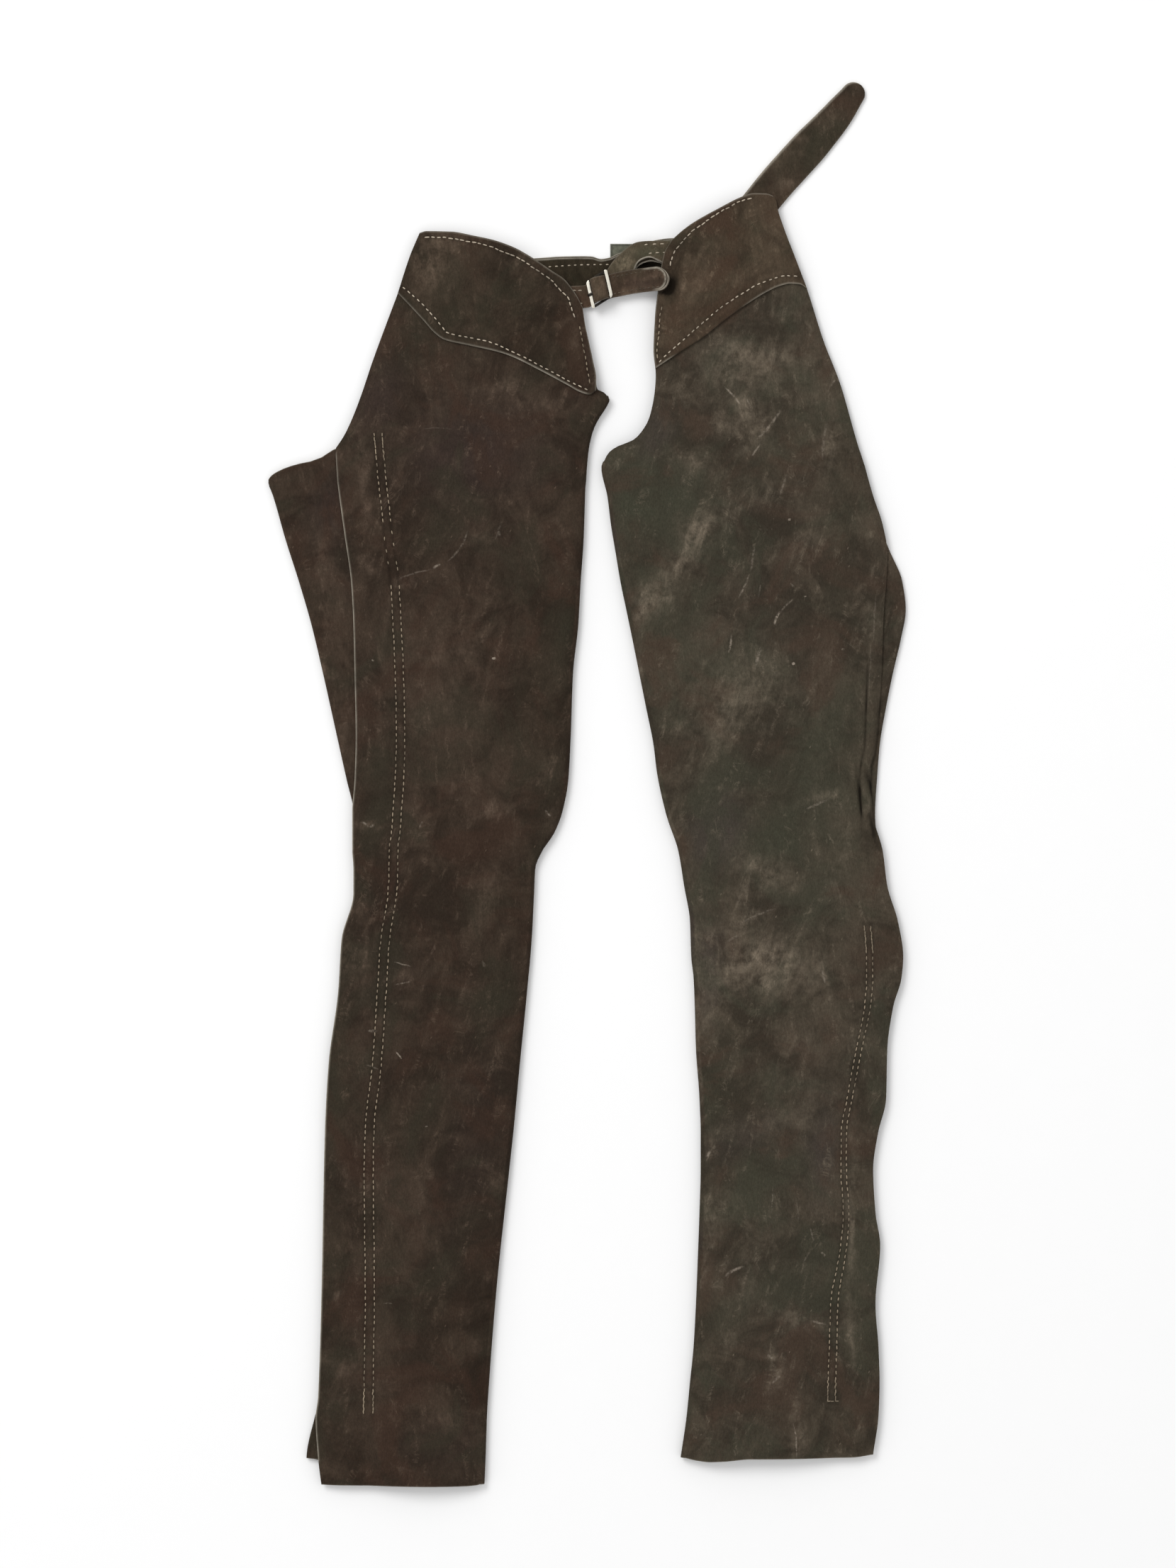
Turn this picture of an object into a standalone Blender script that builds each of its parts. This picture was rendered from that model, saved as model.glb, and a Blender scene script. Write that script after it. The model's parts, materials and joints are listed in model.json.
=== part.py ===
"""Western shotgun chaps in suede, laid flat on their back with the front up.

The waist is at +Y, the wearer's right leg at -X and the left leg at +X. Each leg is one piece of hide:
its front runs from a raw-edged flap on the outer side to a fold at the inner leg, its back lies on the
floor and turns up again at the outer side, and the zip joins it to the front under the flap. Tables and
named sizes are in millimetres, meshes in metres.
"""

import math
from collections import namedtuple

import bpy
import bmesh
from mathutils import Vector

MM = 0.001

# Leather
HIDE = 1.8
YOKE_HIDE = 2.0
SEAM_GAP = 0.3
BACK_Z = HIDE / 2
OUTER_FOLD_RADIUS = 1.6
INNER_FOLD_RADIUS = 3.4
TURNED_BACK_Z = BACK_Z + 2 * OUTER_FOLD_RADIUS
FOLD_STEPS = 6

# Zip under the flap
ZIP_THICKNESS = 1.6
ZIP_Z = TURNED_BACK_Z + HIDE / 2 + SEAM_GAP + ZIP_THICKNESS / 2
ZIP_INNER_MARGIN = 5.0
ZIP_OUTER_SHARE = 0.62
CHAIN_SHARE = 0.30
CHAIN_RIDGE = 0.9
CHAIN_RIDGE_WIDTH = 4.0
TURNED_BACK_SHARE = 0.15

# Columns of each leg, as shares of the way from one line to the next
FLAP_COLUMNS = (0.0, 0.2, 0.42, 0.7, 1.0)
FRONT_COLUMNS = (0.12, 0.28, 0.44, 0.6, 0.76, 0.9, 1.0)
BACK_COLUMNS = (0.2, 0.45, 0.7, 0.86, 0.95, 1.0)
TURNED_COLUMNS = (0.08, 0.25, 0.55, 1.0)
UPPER_ROWS = (0.0, 0.04, 0.08, 0.13, 0.21, 0.32, 0.46, 0.6, 0.74, 0.88, 1.0)
YOKE_COLUMNS = 12
YOKE_ROWS = 7

Section = namedtuple("Section", "y outer flap zip inner")
Height = namedtuple("Height", "y edge zip inner swell")
Fold = namedtuple("Fold", "x y angle length width height")
Ends = namedtuple("Ends", "flap inner outer zip")
Leg = namedtuple("Leg", "inward sections heights folds hem top back_top hip centre waist"
                 " yoke_hip yoke_centre yoke_hem zip_span")

# Lines of each leg seen from above, as x at each y: the outer fold, the flap edge (the hip edge above the
# zip), the zip stitching and the inner fold (the centre edge above the crotch)
RIGHT_SECTIONS = [Section(*row) for row in (
    (-594.6, -239, -225, -185, -87),
    (-570, -238, -228, -185, -86),
    (-537, -231, -230, -185, -85),
    (-520, -226, -228, -185, -84),
    (-430, -223, -225, -184, -77),
    (-327, -221, -223, -185, -66),
    (-290, -220, -222, -184, -62),
    (-237, -217, -219, -178, -57),
    (-177, -209, -211, -174, -51),
    (-132, -206, -208, -171, -47),
    (-93, -196, -198, -165, -45),
    (-72, -196, -198, -164, -44),
    (-57, -197, -199, -164, -38),
    (-42, -197, -199, -162, -28),
    (-24, -198, -199, -161, -21),
    (3, -204, -197, -159, -16),
    (39, -212, -196, -158, -14),
    (93, -224, -197, -159, -12),
    (135, -234, -198, -161, -7.5),
    (171, -244.5, -200, -163, -5.5),
    (207, -256, -205, -168, -3),
    (243, -267, -210, -172, -2),
    (253, -270, -211, -173, -1.5),
    (262, -270, -212, -174, -1),
    (282, -272, -213, -176, 2),
    (307, -272, -199, -172, 9),
    (326, -272, -192, -166, 19),
    (336, -272, -189, -163, 8),
    (357, -272, -182, -158, 4),
    (403, -272, -165, -145, -6),
    (470, -272, -140, -125, -8))]

RIGHT_HEIGHTS = [Height(*row) for row in (
    (-594, 6.2, 8.4, 7.7, 7.0),
    (-300, 6.2, 8.4, 7.7, 4.5),
    (-60, 6.2, 8.4, 7.7, 6.0),
    (150, 6.2, 8.4, 7.7, 8.5),
    (292, 6.2, 8.4, 7.7, 6.0),
    (335, 4.8, 6.4, 7.2, 3.0),
    (375, 4.2, 5.2, 6.8, 1.2),
    (470, 4.2, 4.6, 6.8, 0.4))]

LEFT_SECTIONS = [Section(*row) for row in (
    (-572, 241, 242, 207, 79),
    (-537, 244, 246.5, 207, 84),
    (-507, 245, 247.5, 207, 87),
    (-477, 244, 246.5, 208, 90),
    (-441, 242, 244, 209, 92),
    (-391, 245, 248, 217, 94),
    (-364, 241, 244, 219, 95),
    (-327, 239, 242, 217, 96),
    (-297, 243, 246, 217, 96),
    (-267, 250, 253, 222, 95),
    (-225, 251, 254, 230, 92),
    (-189, 256, 259, 237, 91),
    (-165, 263, 266, 239, 90),
    (-147, 264, 267.5, 239, 88),
    (-117, 259, 263, 237, 87),
    (-87, 251, 254, 236, 82),
    (-57, 247, 250, 234, 77),
    (-27, 244, 242, 232, 67),
    (9, 246, 240, 231, 59),
    (33, 248, 245, 235, 56),
    (63, 253, 247, 236, 50),
    (93, 259, 249, 237, 44),
    (123, 266, 250, 238, 38),
    (147, 270, 251, 240, 33),
    (171, 267, 253, 240, 28),
    (195, 257, 254, 239, 24),
    (219, 247, 250, 236, 20),
    (243, 239, 242, 230, 17),
    (268, 234, 235, 224, 11),
    (281, 232, 231, 216, 20),
    (290, 230, 228, 209, 39),
    (304, 226, 224, 199, 50),
    (334, 216, 215, 182, 58),
    (366, 200, 203, 167, 56),
    (414, 190, 187, 150, 60),
    (451, 180, 174, 138, 66),
    (499, 170, 157, 128, 78))]

LEFT_HEIGHTS = [Height(*row) for row in (
    (-572, 6.2, 8.4, 7.7, 7.0),
    (-300, 6.2, 8.4, 7.7, 4.5),
    (-60, 6.2, 8.4, 7.7, 6.0),
    (150, 6.2, 8.4, 7.7, 8.5),
    (255, 6.2, 8.4, 7.7, 6.5),
    (300, 5.2, 7.0, 7.7, 4.5),
    (350, 4.6, 5.8, 7.7, 2.0),
    (420, 4.8, 6.2, 8.5, 0.8),
    (455, 5.0, 6.4, 8.7, 0.4),
    (499, 4.8, 5.4, 8.0, 0.2))]

# Largest folds of the fronts: middle, angle from +X in degrees, half length, half width and height
RIGHT_FOLDS = [Fold(*row) for row in (
    (-88, -52, 30, 62, 15, 1.6),
    (-96, -100, 12, 58, 14, 1.3),
    (-98, -76, 20, 56, 12, -1.2),
    (-120, 190, 24, 60, 22, 1.3),
    (-60, 255, 10, 60, 20, -1.2),
    (-125, -330, 78, 90, 22, 1.1))]
LEFT_FOLDS = [Fold(*row) for row in (
    (152, -72, -16, 62, 16, 1.5),
    (165, -152, -8, 60, 20, 1.6),
    (158, -112, -14, 60, 15, -1.5),
    (88, 182, 50, 85, 16, 1.4),
    (148, 290, 60, 48, 22, 1.3),
    (165, -400, 84, 90, 22, 1.1))]

# Outlines of the fronts above the crotch
RIGHT_HIP = ((-213, 284), (-206, 294), (-199, 309), (-191, 330), (-182, 357), (-165, 403), (-160.5, 415),
             (-150, 447), (-142, 466))
RIGHT_YOKE_HIP = ((-160.5, 415), (-150, 447), (-142, 466))
RIGHT_CENTRE = ((19, 326), (16, 331), (12, 333), (8.5, 335), (7.5, 343), (5, 357), (1.5, 373), (-2, 389), (-4, 403))
RIGHT_YOKE_CENTRE = ((7.5, 332.5), (7.5, 343), (5, 357), (1.5, 373), (-2, 389), (-4, 403))
RIGHT_WAIST = ((-142, 466), (-136, 467.5), (-115, 467), (-96, 463.5), (-80, 460), (-63, 454), (-50, 447),
               (-29, 433), (-20, 427), (-14, 420), (-8, 411), (-4, 403))
RIGHT_YOKE_HEM = ((-160.5, 415), (-150, 404), (-138, 391), (-129, 380), (-122, 376), (-92, 370), (-73, 365.5),
                  (-56, 356), (-37, 345), (-19, 336), (-5, 330), (2, 329), (7.5, 332.5))
RIGHT_BACK_TOP = ((-267.5, 259), (-264, 264), (-257, 267.5), (-229, 276), (-213, 283), (-180, 293), (-100, 308),
                  (-30, 318), (19, 324))

LEFT_HIP = ((235, 268), (229.5, 285), (214, 339), (200, 375), (186, 419), (176, 445), (165, 474), (161, 487),
            (160, 493), (157, 497.5))
LEFT_YOKE_HIP = ((186, 419), (176, 445), (165, 474), (161, 487), (160, 493), (157, 497.5))
LEFT_CENTRE = ((11.5, 268), (15, 276), (26, 284), (37, 289), (44, 296), (53, 310), (57, 326), (58, 340),
               (56, 366), (57, 390), (61, 426), (65, 448), (72, 460))
LEFT_YOKE_CENTRE = ((57.5, 351), (56, 366), (57, 390), (61, 426), (65, 448), (72, 460))
LEFT_WAIST = ((157, 497.5), (151, 499.3), (141, 499.5), (132, 497), (112, 487), (90, 474.5), (81, 468), (72, 460))
LEFT_YOKE_HEM = ((186, 419), (180, 422.5), (172, 423), (163, 421), (152, 416), (130, 402), (115, 391), (99, 378),
                 (82, 367), (68, 358), (57.5, 351))
LEFT_BACK_TOP = ((12, 266), (120, 264), (200, 262), (237, 255))

RIGHT_LEG = Leg(inward=1, sections=RIGHT_SECTIONS, heights=RIGHT_HEIGHTS, folds=RIGHT_FOLDS,
                hem=Ends(flap=-593, inner=-594.6, outer=-572, zip=-573),
                top=Ends(flap=284, inner=326, outer=258, zip=292),
                back_top=RIGHT_BACK_TOP, hip=RIGHT_HIP, centre=RIGHT_CENTRE, waist=RIGHT_WAIST,
                yoke_hip=RIGHT_YOKE_HIP, yoke_centre=RIGHT_YOKE_CENTRE, yoke_hem=RIGHT_YOKE_HEM,
                zip_span=(-531, 288))
LEFT_LEG = Leg(inward=-1, sections=LEFT_SECTIONS, heights=LEFT_HEIGHTS, folds=LEFT_FOLDS,
               hem=Ends(flap=-572, inner=-572, outer=-570, zip=-571),
               top=Ends(flap=268, inner=268, outer=255, zip=262),
               back_top=LEFT_BACK_TOP, hip=LEFT_HIP, centre=LEFT_CENTRE, waist=LEFT_WAIST,
               yoke_hip=LEFT_YOKE_HIP, yoke_centre=LEFT_YOKE_CENTRE, yoke_hem=LEFT_YOKE_HEM,
               zip_span=(-523, 256))

# Straps. A profile is a list of (distance along the plan path, height of the leather's middle)
BILLET_HIDE = 2.6
BILLET_PATH = ((130, 471), (145, 490), (160.4, 508.9), (177, 527.4), (193.3, 545.3), (209.8, 564), (231.5, 592.4))
BILLET_WIDTH = ((0, 30), (85, 31), (108, 28.5), (130, 25))
BILLET_TIP = 20.0
BILLET_STOPS = (0, 12, 24, 38, 52, 68, 84, 98, 112, 124, 134)

BELT_PLY = 1.2
BELT_WIDTH = 32.0
BELT_PATH = ((-118, 421), (-77, 425), (-41, 428), (4, 430.5), (20, 430.5), (36, 434), (52, 441), (70, 445),
             (86, 446.5), (96, 447))
BELT_STOPS = (0, 20, 40, 60, 80, 100, 112, 124, 136, 148, 160, 172, 184, 194)
LABEL_RISE = ((0, 0.0), (118, 0.0), (136, 0.9), (168, 0.9), (186, 0.0), (220, 0.0))

CHAPE_PLY = 1.1
CHAPE_PAST_BAR = 6
CHAPE_PATH = ((20, 422.8), (24, 427.6), (28, 433.8), (32.4, 439.2), (38, 443.5), (46, 447), (55, 449), (66, 449.5),
              (84, 449))
CHAPE_WIDTH = ((-4, 19.0), (6, 19.0), (14, 20.0), (90, 20.0))
CHAPE_STOPS = (10, 15, 20, 27, 34, 41, 48, 55, 62, 74)
CHAPE_LIFT = ((0, 0), (28, 0), (41, 5.5), (50, 5.0), (60, 0), (90, 0))
CHAPE_LOWER_LIFT_SHARE = 0.4
CHAPE_LOWER_Z = 4.35
CHAPE_UPPER_Z = 5.65
CHAPE_ROUND_THE_BAR = ((6, 4.35), (3.6, 4.5), (2.0, 5.0), (0.4, 6.2), (-1.0, 7.6), (-2.1, 8.9), (-2.35, 9.8),
                       (-2.0, 11.0), (-1.2, 11.8), (0.0, 12.15), (1.2, 11.8), (2.0, 11.0), (2.35, 9.8),
                       (2.35, 8.2), (2.6, 6.9), (3.4, 6.0), (4.8, 5.65))

# The tongue of the front strap goes under, over and under the three bars; distances are from the middle bar
TONGUE_HIDE = 1.8
TONGUE_BEFORE_BAR = ((-31, 411.5), (-10, 412), (1, 416))
TONGUE_PAST_BAR = ((22, 421.4), (44, 425.5), (70.5, 427))
TONGUE_WIDTH = ((-60, 19.0), (-6, 19.0), (6, 19.6), (46, 20.4))
TONGUE_TIP = 20.4
TONGUE_TIP_Z = 14.0
TONGUE_TIP_RISE = 0.25
TONGUE_PROFILE = ((-40, 3.9), (-30, 3.9), (-20, 4.1), (-12, 4.8), (-9, 5.2), (-6.4, 6.2), (-5.2, 8.0), (-4.8, 10.4),
                  (-4.0, 12.8), (-2.4, 14.2), (0, 14.7), (2.4, 14.2), (4.0, 12.8), (4.8, 10.4), (5.2, 8.6),
                  (6.4, 7.6), (9.4, 7.5), (14, 7.5), (22, 7.6), (30, 8.0), (38, 9.8), (44, 12.4), (49, 13.9))

# A centre-bar frame lies along its strap, its bars across it
Frame = namedtuple("Frame", "length height end_bar side_bar centre_bar bar_shift thickness corner")
BUCKLE = Frame(length=18.6, height=26.6, end_bar=2.4, side_bar=2.2, centre_bar=2.0, bar_shift=0.0, thickness=2.2,
               corner=3.0)
BUCKLE_CENTRE = (10.0, 418.3)
BUCKLE_Z = 9.8
BUCKLE_ANGLE = math.radians(13)
SLIDE = Frame(length=34.0, height=42.0, end_bar=2.4, side_bar=4.0, centre_bar=4.0, bar_shift=3.0, thickness=2.4,
              corner=3.0)
SLIDE_Z = 2.9
WINDOW_CORNER = 1.2

# The prong is a wire curled round the middle bar, its tip on the left bar
PRONG_WIRE = 0.7
PRONG_RING = 2.45
PRONG_TURNS = (-110, 140)
PRONG_SHANK = ((-4.5, 12.0), (-10.2, 12.1))
SLOT_WIDTH = 2.6
CHAPE_SLOT = ((0.0, 9.4), (7.4, 7.4))
TONGUE_SLOT = ((-4.4, 11.9), (4.4, 3.0))

LABEL_SIZE = (26.0, 32.0, 0.6)
LABEL_CENTRE = (32.5, 441.5)

COLOURS = {
    "suede brown": (0.050, 0.038, 0.029, 1.0),
    "suede olive": (0.062, 0.053, 0.040, 1.0),
    "zip tape": (0.020, 0.018, 0.016, 1.0),
    "nickel": (0.80, 0.78, 0.72, 1.0),
    "label weave": (0.045, 0.055, 0.045, 1.0),
}


def smooth_value(points, at):
    """Read a smooth curve through (position, value) points, with no overshoot between them."""
    if at <= points[0][0]:
        return points[0][1]
    if at >= points[-1][0]:
        return points[-1][1]
    slopes = [(b[1] - a[1]) / (b[0] - a[0]) for a, b in zip(points, points[1:])]
    tangents = [slopes[0]]
    for before, after in zip(slopes, slopes[1:]):
        same_way = before * after > 0
        tangents.append(2 * before * after / (before + after) if same_way else 0.0)
    tangents.append(slopes[-1])
    index = max(i for i in range(len(points) - 1) if points[i][0] <= at)
    (start, low), (end, high) = points[index], points[index + 1]
    span = end - start
    t = (at - start) / span
    return ((2 * t ** 3 - 3 * t ** 2 + 1) * low + (t ** 3 - 2 * t ** 2 + t) * span * tangents[index]
            + (3 * t ** 2 - 2 * t ** 3) * high + (t ** 3 - t ** 2) * span * tangents[index + 1])


def column(rows, name):
    """The (y, value) points of one named column of a table."""
    return [(row.y, getattr(row, name)) for row in rows]


def blend(low, high, share):
    return low + (high - low) * share


def smooth_step(low, high, at):
    t = min(max((at - low) / (high - low), 0.0), 1.0)
    return t * t * (3 - 2 * t)


def curve_points(points, shares):
    """Points at shares of the length of a smooth curve through the given points."""
    lengths = [0.0]
    for a, b in zip(points, points[1:]):
        lengths.append(lengths[-1] + math.dist(a, b))
    axes = [list(zip(lengths, values)) for values in zip(*points)]
    return [tuple(smooth_value(axis, share * lengths[-1]) for axis in axes) for share in shares]


def edge_patch(bottom, top, left, right, shares_across, shares_up):
    """A grid blended between four edge curves that meet at the corners; shares_across has a list for each row."""
    near = curve_points(left, shares_up)
    far = curve_points(right, shares_up)
    grid = []
    for row, up in enumerate(shares_up):
        low = curve_points(bottom, shares_across[row])
        high = curve_points(top, shares_across[row])
        points = []
        for index, across in enumerate(shares_across[row]):
            point = []
            for axis in (0, 1):
                ruled = (blend(low[index][axis], high[index][axis], up)
                         + blend(near[row][axis], far[row][axis], across))
                corners = blend(blend(bottom[0][axis], bottom[-1][axis], across),
                                blend(top[0][axis], top[-1][axis], across), up)
                point.append(ruled - corners)
            points.append(tuple(point))
        grid.append(points)
    return grid


def fold_height(folds, x, y):
    """Soft ridges and troughs, each an ellipse that fades out at its rim."""
    total = 0.0
    for fold in folds:
        turn = math.radians(fold.angle)
        along = (x - fold.x) * math.cos(turn) + (y - fold.y) * math.sin(turn)
        across = (y - fold.y) * math.cos(turn) - (x - fold.x) * math.sin(turn)
        total += fold.height * math.exp(-2 * ((along / fold.length) ** 2 + (across / fold.width) ** 2))
    return total


def front_height(leg, x, y):
    """Height of the middle of the front layer: flap, zip ridge, then a soft swell to the inner fold."""
    flap = smooth_value(column(leg.sections, "flap"), y)
    stitching = smooth_value(column(leg.sections, "zip"), y)
    inner = smooth_value(column(leg.sections, "inner"), y)
    if y < leg.top.inner:
        inner -= leg.inward * (INNER_FOLD_RADIUS + HIDE / 2)
    edge_z, zip_z, inner_z, swell = (smooth_value(column(leg.heights, name), y)
                                     for name in ("edge", "zip", "inner", "swell"))
    over_flap = (x - flap) / (stitching - flap)
    if over_flap <= 1:
        height = blend(edge_z, zip_z, smooth_step(0, 0.45, over_flap))
    else:
        across = min((x - stitching) / (inner - stitching), 1.0)
        arch = math.sin(math.pi * across)
        height = blend(zip_z, inner_z, across) + swell * arch + arch * fold_height(leg.folds, x, y)
    chain = blend(stitching, flap, CHAIN_SHARE)
    ends = (smooth_step(leg.zip_span[0] - 30, leg.zip_span[0], y)
            * (1 - smooth_step(leg.zip_span[1], leg.zip_span[1] + 30, y)))
    return height + ends * CHAIN_RIDGE * math.exp(-((x - chain) / CHAIN_RIDGE_WIDTH) ** 2)


Crossing = namedtuple("Crossing", "flap stitching front_end back_start zip_edge")


def row_crossing(leg, share):
    """Where a row at a share of the way from hem to crotch crosses the lines of a leg, as (x, y) points."""
    flap_y, inner_y, outer_y, zip_y = (blend(low, high, share) for low, high in zip(leg.hem, leg.top))
    flap, stitching = column(leg.sections, "flap"), column(leg.sections, "zip")
    inner = smooth_value(column(leg.sections, "inner"), inner_y)
    outer = smooth_value(column(leg.sections, "outer"), outer_y)
    return Crossing(flap=(smooth_value(flap, flap_y), flap_y),
                    stitching=(smooth_value(stitching, flap_y), flap_y),
                    front_end=(inner - leg.inward * (INNER_FOLD_RADIUS + HIDE / 2), inner_y),
                    back_start=(outer + leg.inward * (OUTER_FOLD_RADIUS + HIDE / 2), outer_y),
                    zip_edge=(blend(smooth_value(stitching, zip_y), smooth_value(flap, zip_y), TURNED_BACK_SHARE),
                              zip_y))


def on_line(start, end, part):
    return blend(start[0], end[0], part), blend(start[1], end[1], part)


def wrap_row(leg, share):
    """One row of a leg from the flap edge round the inner fold and the back to the zip edge of the back."""
    at = row_crossing(leg, share)
    top = row_crossing(leg, 1.0)
    top_weight = smooth_step(0.8, 1.0, share)

    def back_point(line, part, height):
        """A point of the back, its row bent more and more to the shape of the back's top edge."""
        x, y = on_line(getattr(at, line[0]), getattr(at, line[1]), part)
        top_x, top_y = on_line(getattr(top, line[0]), getattr(top, line[1]), part)
        return x, y + top_weight * (smooth_value(leg.back_top, top_x) - top_y), height

    row = []
    across_front = [blend(at.flap[0], at.stitching[0], part) for part in FLAP_COLUMNS]
    across_front += [blend(at.stitching[0], at.front_end[0], part) for part in FRONT_COLUMNS]
    for x in across_front:
        y = blend(at.flap[1], at.front_end[1], (x - at.flap[0]) / (at.front_end[0] - at.flap[0]))
        row.append((x, y, front_height(leg, x, y)))

    fold_top = row[-1][2]
    turns = [math.pi * step / FOLD_STEPS for step in range(1, FOLD_STEPS + 1)]
    for turn in turns:
        row.append((at.front_end[0] + leg.inward * INNER_FOLD_RADIUS * math.sin(turn), at.front_end[1],
                    blend(BACK_Z, fold_top, (1 + math.cos(turn)) / 2)))
    row += [back_point(("front_end", "back_start"), part, BACK_Z) for part in BACK_COLUMNS]
    for turn in turns:
        row.append((at.back_start[0] - leg.inward * OUTER_FOLD_RADIUS * math.sin(turn), row[-1][1],
                    blend(TURNED_BACK_Z, BACK_Z, (1 + math.cos(turn)) / 2)))
    row += [back_point(("back_start", "zip_edge"), part, TURNED_BACK_Z) for part in TURNED_COLUMNS]
    return row


def wrap_shares(leg):
    """The rows of a leg, as shares of the way from hem to crotch."""
    low, high = leg.hem.inner, leg.top.inner
    return [(row.y - low) / (high - low) for row in leg.sections if row.y <= high]


def leg_grids(leg):
    """The wrapped part of a leg and the front above it, as two grids of points that share a row."""
    wrap = [wrap_row(leg, share) for share in wrap_shares(leg)]
    front_columns = len(FLAP_COLUMNS) + len(FRONT_COLUMNS)
    join = wrap[-1][:front_columns]
    width = join[-1][0] - join[0][0]
    join_shares = [(point[0] - join[0][0]) / width for point in join]
    shares_across = [[blend(share, index / (front_columns - 1), smooth_step(0, 0.6, up))
                      for index, share in enumerate(join_shares)] for up in UPPER_ROWS]
    bottom = (join[0][:2], join[-1][:2])
    flat = edge_patch(bottom, leg.waist, bottom[:1] + leg.hip[1:], bottom[1:] + leg.centre[1:],
                      shares_across, UPPER_ROWS)
    upper = [[(x, y, front_height(leg, x, y)) for x, y in row] for row in flat]
    upper[0] = join
    return [wrap, upper]


def yoke_grid(leg):
    """A yoke is made from the front's own points, moved out by the two half thicknesses and the gap."""
    shares_up = [step / YOKE_ROWS for step in range(YOKE_ROWS + 1)]
    shares_across = [[step / YOKE_COLUMNS for step in range(YOKE_COLUMNS + 1)] for _ in shares_up]
    flat = edge_patch(leg.yoke_hem, leg.waist, leg.yoke_hip, leg.yoke_centre, shares_across, shares_up)
    lift = HIDE / 2 + SEAM_GAP + YOKE_HIDE / 2
    return [[(x, y, front_height(leg, x, y) + lift) for x, y in row] for row in flat]


def zip_grid(leg):
    """The zip is a strip between the turned-up back and the flap."""
    low, high = leg.zip_span
    ys = [low] + [row.y for row in leg.sections if low + 12 < row.y < high - 8] + [high]
    grid = []
    for y in ys:
        stitching = smooth_value(column(leg.sections, "zip"), y)
        flap = smooth_value(column(leg.sections, "flap"), y)
        inner_edge = stitching + leg.inward * ZIP_INNER_MARGIN
        outer_edge = blend(stitching, flap, ZIP_OUTER_SHARE)
        grid.append([(blend(inner_edge, outer_edge, part), y, ZIP_Z) for part in (0.0, 0.5, 1.0)])
    return grid


def plan_frame(path, distance):
    """Point and unit direction on a smooth plan path at a distance along it; it runs on straight past its ends."""
    lengths = [0.0]
    for a, b in zip(path, path[1:]):
        lengths.append(lengths[-1] + math.dist(a, b))
    axes = [list(zip(lengths, values)) for values in zip(*path)]
    inside = min(max(distance, 0.0), lengths[-1])
    step = 0.5
    low, high = max(inside - step, 0.0), min(inside + step, lengths[-1])
    point = Vector([smooth_value(axis, inside) for axis in axes])
    ahead = Vector([smooth_value(axis, high) - smooth_value(axis, low) for axis in axes]).normalized()
    return point + ahead * (distance - inside), ahead


def strap_grid(path, profile, width, lift=((0, 0), (1, 0))):
    """A ribbon over a plan path. A profile point is (distance, height); lift raises the left edge."""
    grid = []
    for distance, height in profile:
        point, ahead = plan_frame(path, distance)
        side = Vector((-ahead.y, ahead.x))
        half = smooth_value(width, distance) / 2
        raised = smooth_value(lift, distance)
        row = []
        for share in (-1.0, -0.5, 0.0, 0.5, 1.0):
            arch = raised * max(share, 0.0) ** 2
            place = point + side * (half * share - arch)
            row.append((place.x, place.y, height + arch))
        grid.append(row)
    return grid


def rounded_end(length, width, steps=5):
    """Distances and widths that round off the end of a strap."""
    radius = width / 2
    turns = [math.radians(80) * step / steps for step in range(1, steps + 1)]
    return [(length - radius + radius * math.sin(turn), width * math.cos(turn)) for turn in turns]


def sheet_object(name, grids, thickness, material, collection):
    """Leather as an open surface, joined where its grids meet, with Solidify giving it an even thickness."""
    shape = bmesh.new()
    for grid in grids:
        rows = [[shape.verts.new(Vector(point) * MM) for point in row] for row in grid]
        for low, high in zip(rows, rows[1:]):
            for a, b, c, d in zip(low, low[1:], high[1:], high):
                shape.faces.new((a, b, c, d))
    bmesh.ops.remove_doubles(shape, verts=shape.verts, dist=0.00001)
    mesh = bpy.data.meshes.new(name)
    shape.to_mesh(mesh)
    shape.free()
    mesh.shade_smooth()
    mesh.materials.append(material)
    item = bpy.data.objects.new(name, mesh)
    collection.objects.link(item)
    solidify = item.modifiers.new("Thickness", "SOLIDIFY")
    solidify.thickness = thickness * MM
    solidify.offset = 0.0
    solidify.use_even_offset = True
    return item


def make_material(name, roughness, metallic=0.0):
    material = bpy.data.materials.new(name)
    material.use_nodes = True
    shader = material.node_tree.nodes["Principled BSDF"]
    shader.inputs["Base Color"].default_value = COLOURS[name]
    shader.inputs["Roughness"].default_value = roughness
    shader.inputs["Metallic"].default_value = metallic
    material.diffuse_color = COLOURS[name]
    return material


def box_cutter(name, centre, size, angle, collection):
    """A hidden box that cuts a slot."""
    bpy.ops.mesh.primitive_cube_add(size=1, location=Vector(centre) * MM, rotation=(0, 0, angle))
    cutter = bpy.context.object
    cutter.name = name
    cutter.scale = Vector(size) * MM
    bpy.ops.object.transform_apply(location=False, rotation=False, scale=True)
    move_to(cutter, collection)
    cutter.display_type = "WIRE"
    cutter.hide_render = True
    return cutter


def move_to(item, collection):
    for owner in list(item.users_collection):
        owner.objects.unlink(item)
    collection.objects.link(item)


def cut(item, cutter):
    boolean = item.modifiers.new("Slot", "BOOLEAN")
    boolean.operation = "DIFFERENCE"
    boolean.object = cutter


def rounded_outline(length, height, radius, steps=3):
    """A rectangle with rounded corners, anticlockwise from its lower right corner."""
    points = []
    for turn, (sx, sy) in enumerate(((1, -1), (1, 1), (-1, 1), (-1, -1))):
        for step in range(steps + 1):
            angle = math.radians(-90 + 90 * turn + 90 * step / steps)
            points.append((sx * (length / 2 - radius) + radius * math.cos(angle),
                           sy * (height / 2 - radius) + radius * math.sin(angle)))
    return points


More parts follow.
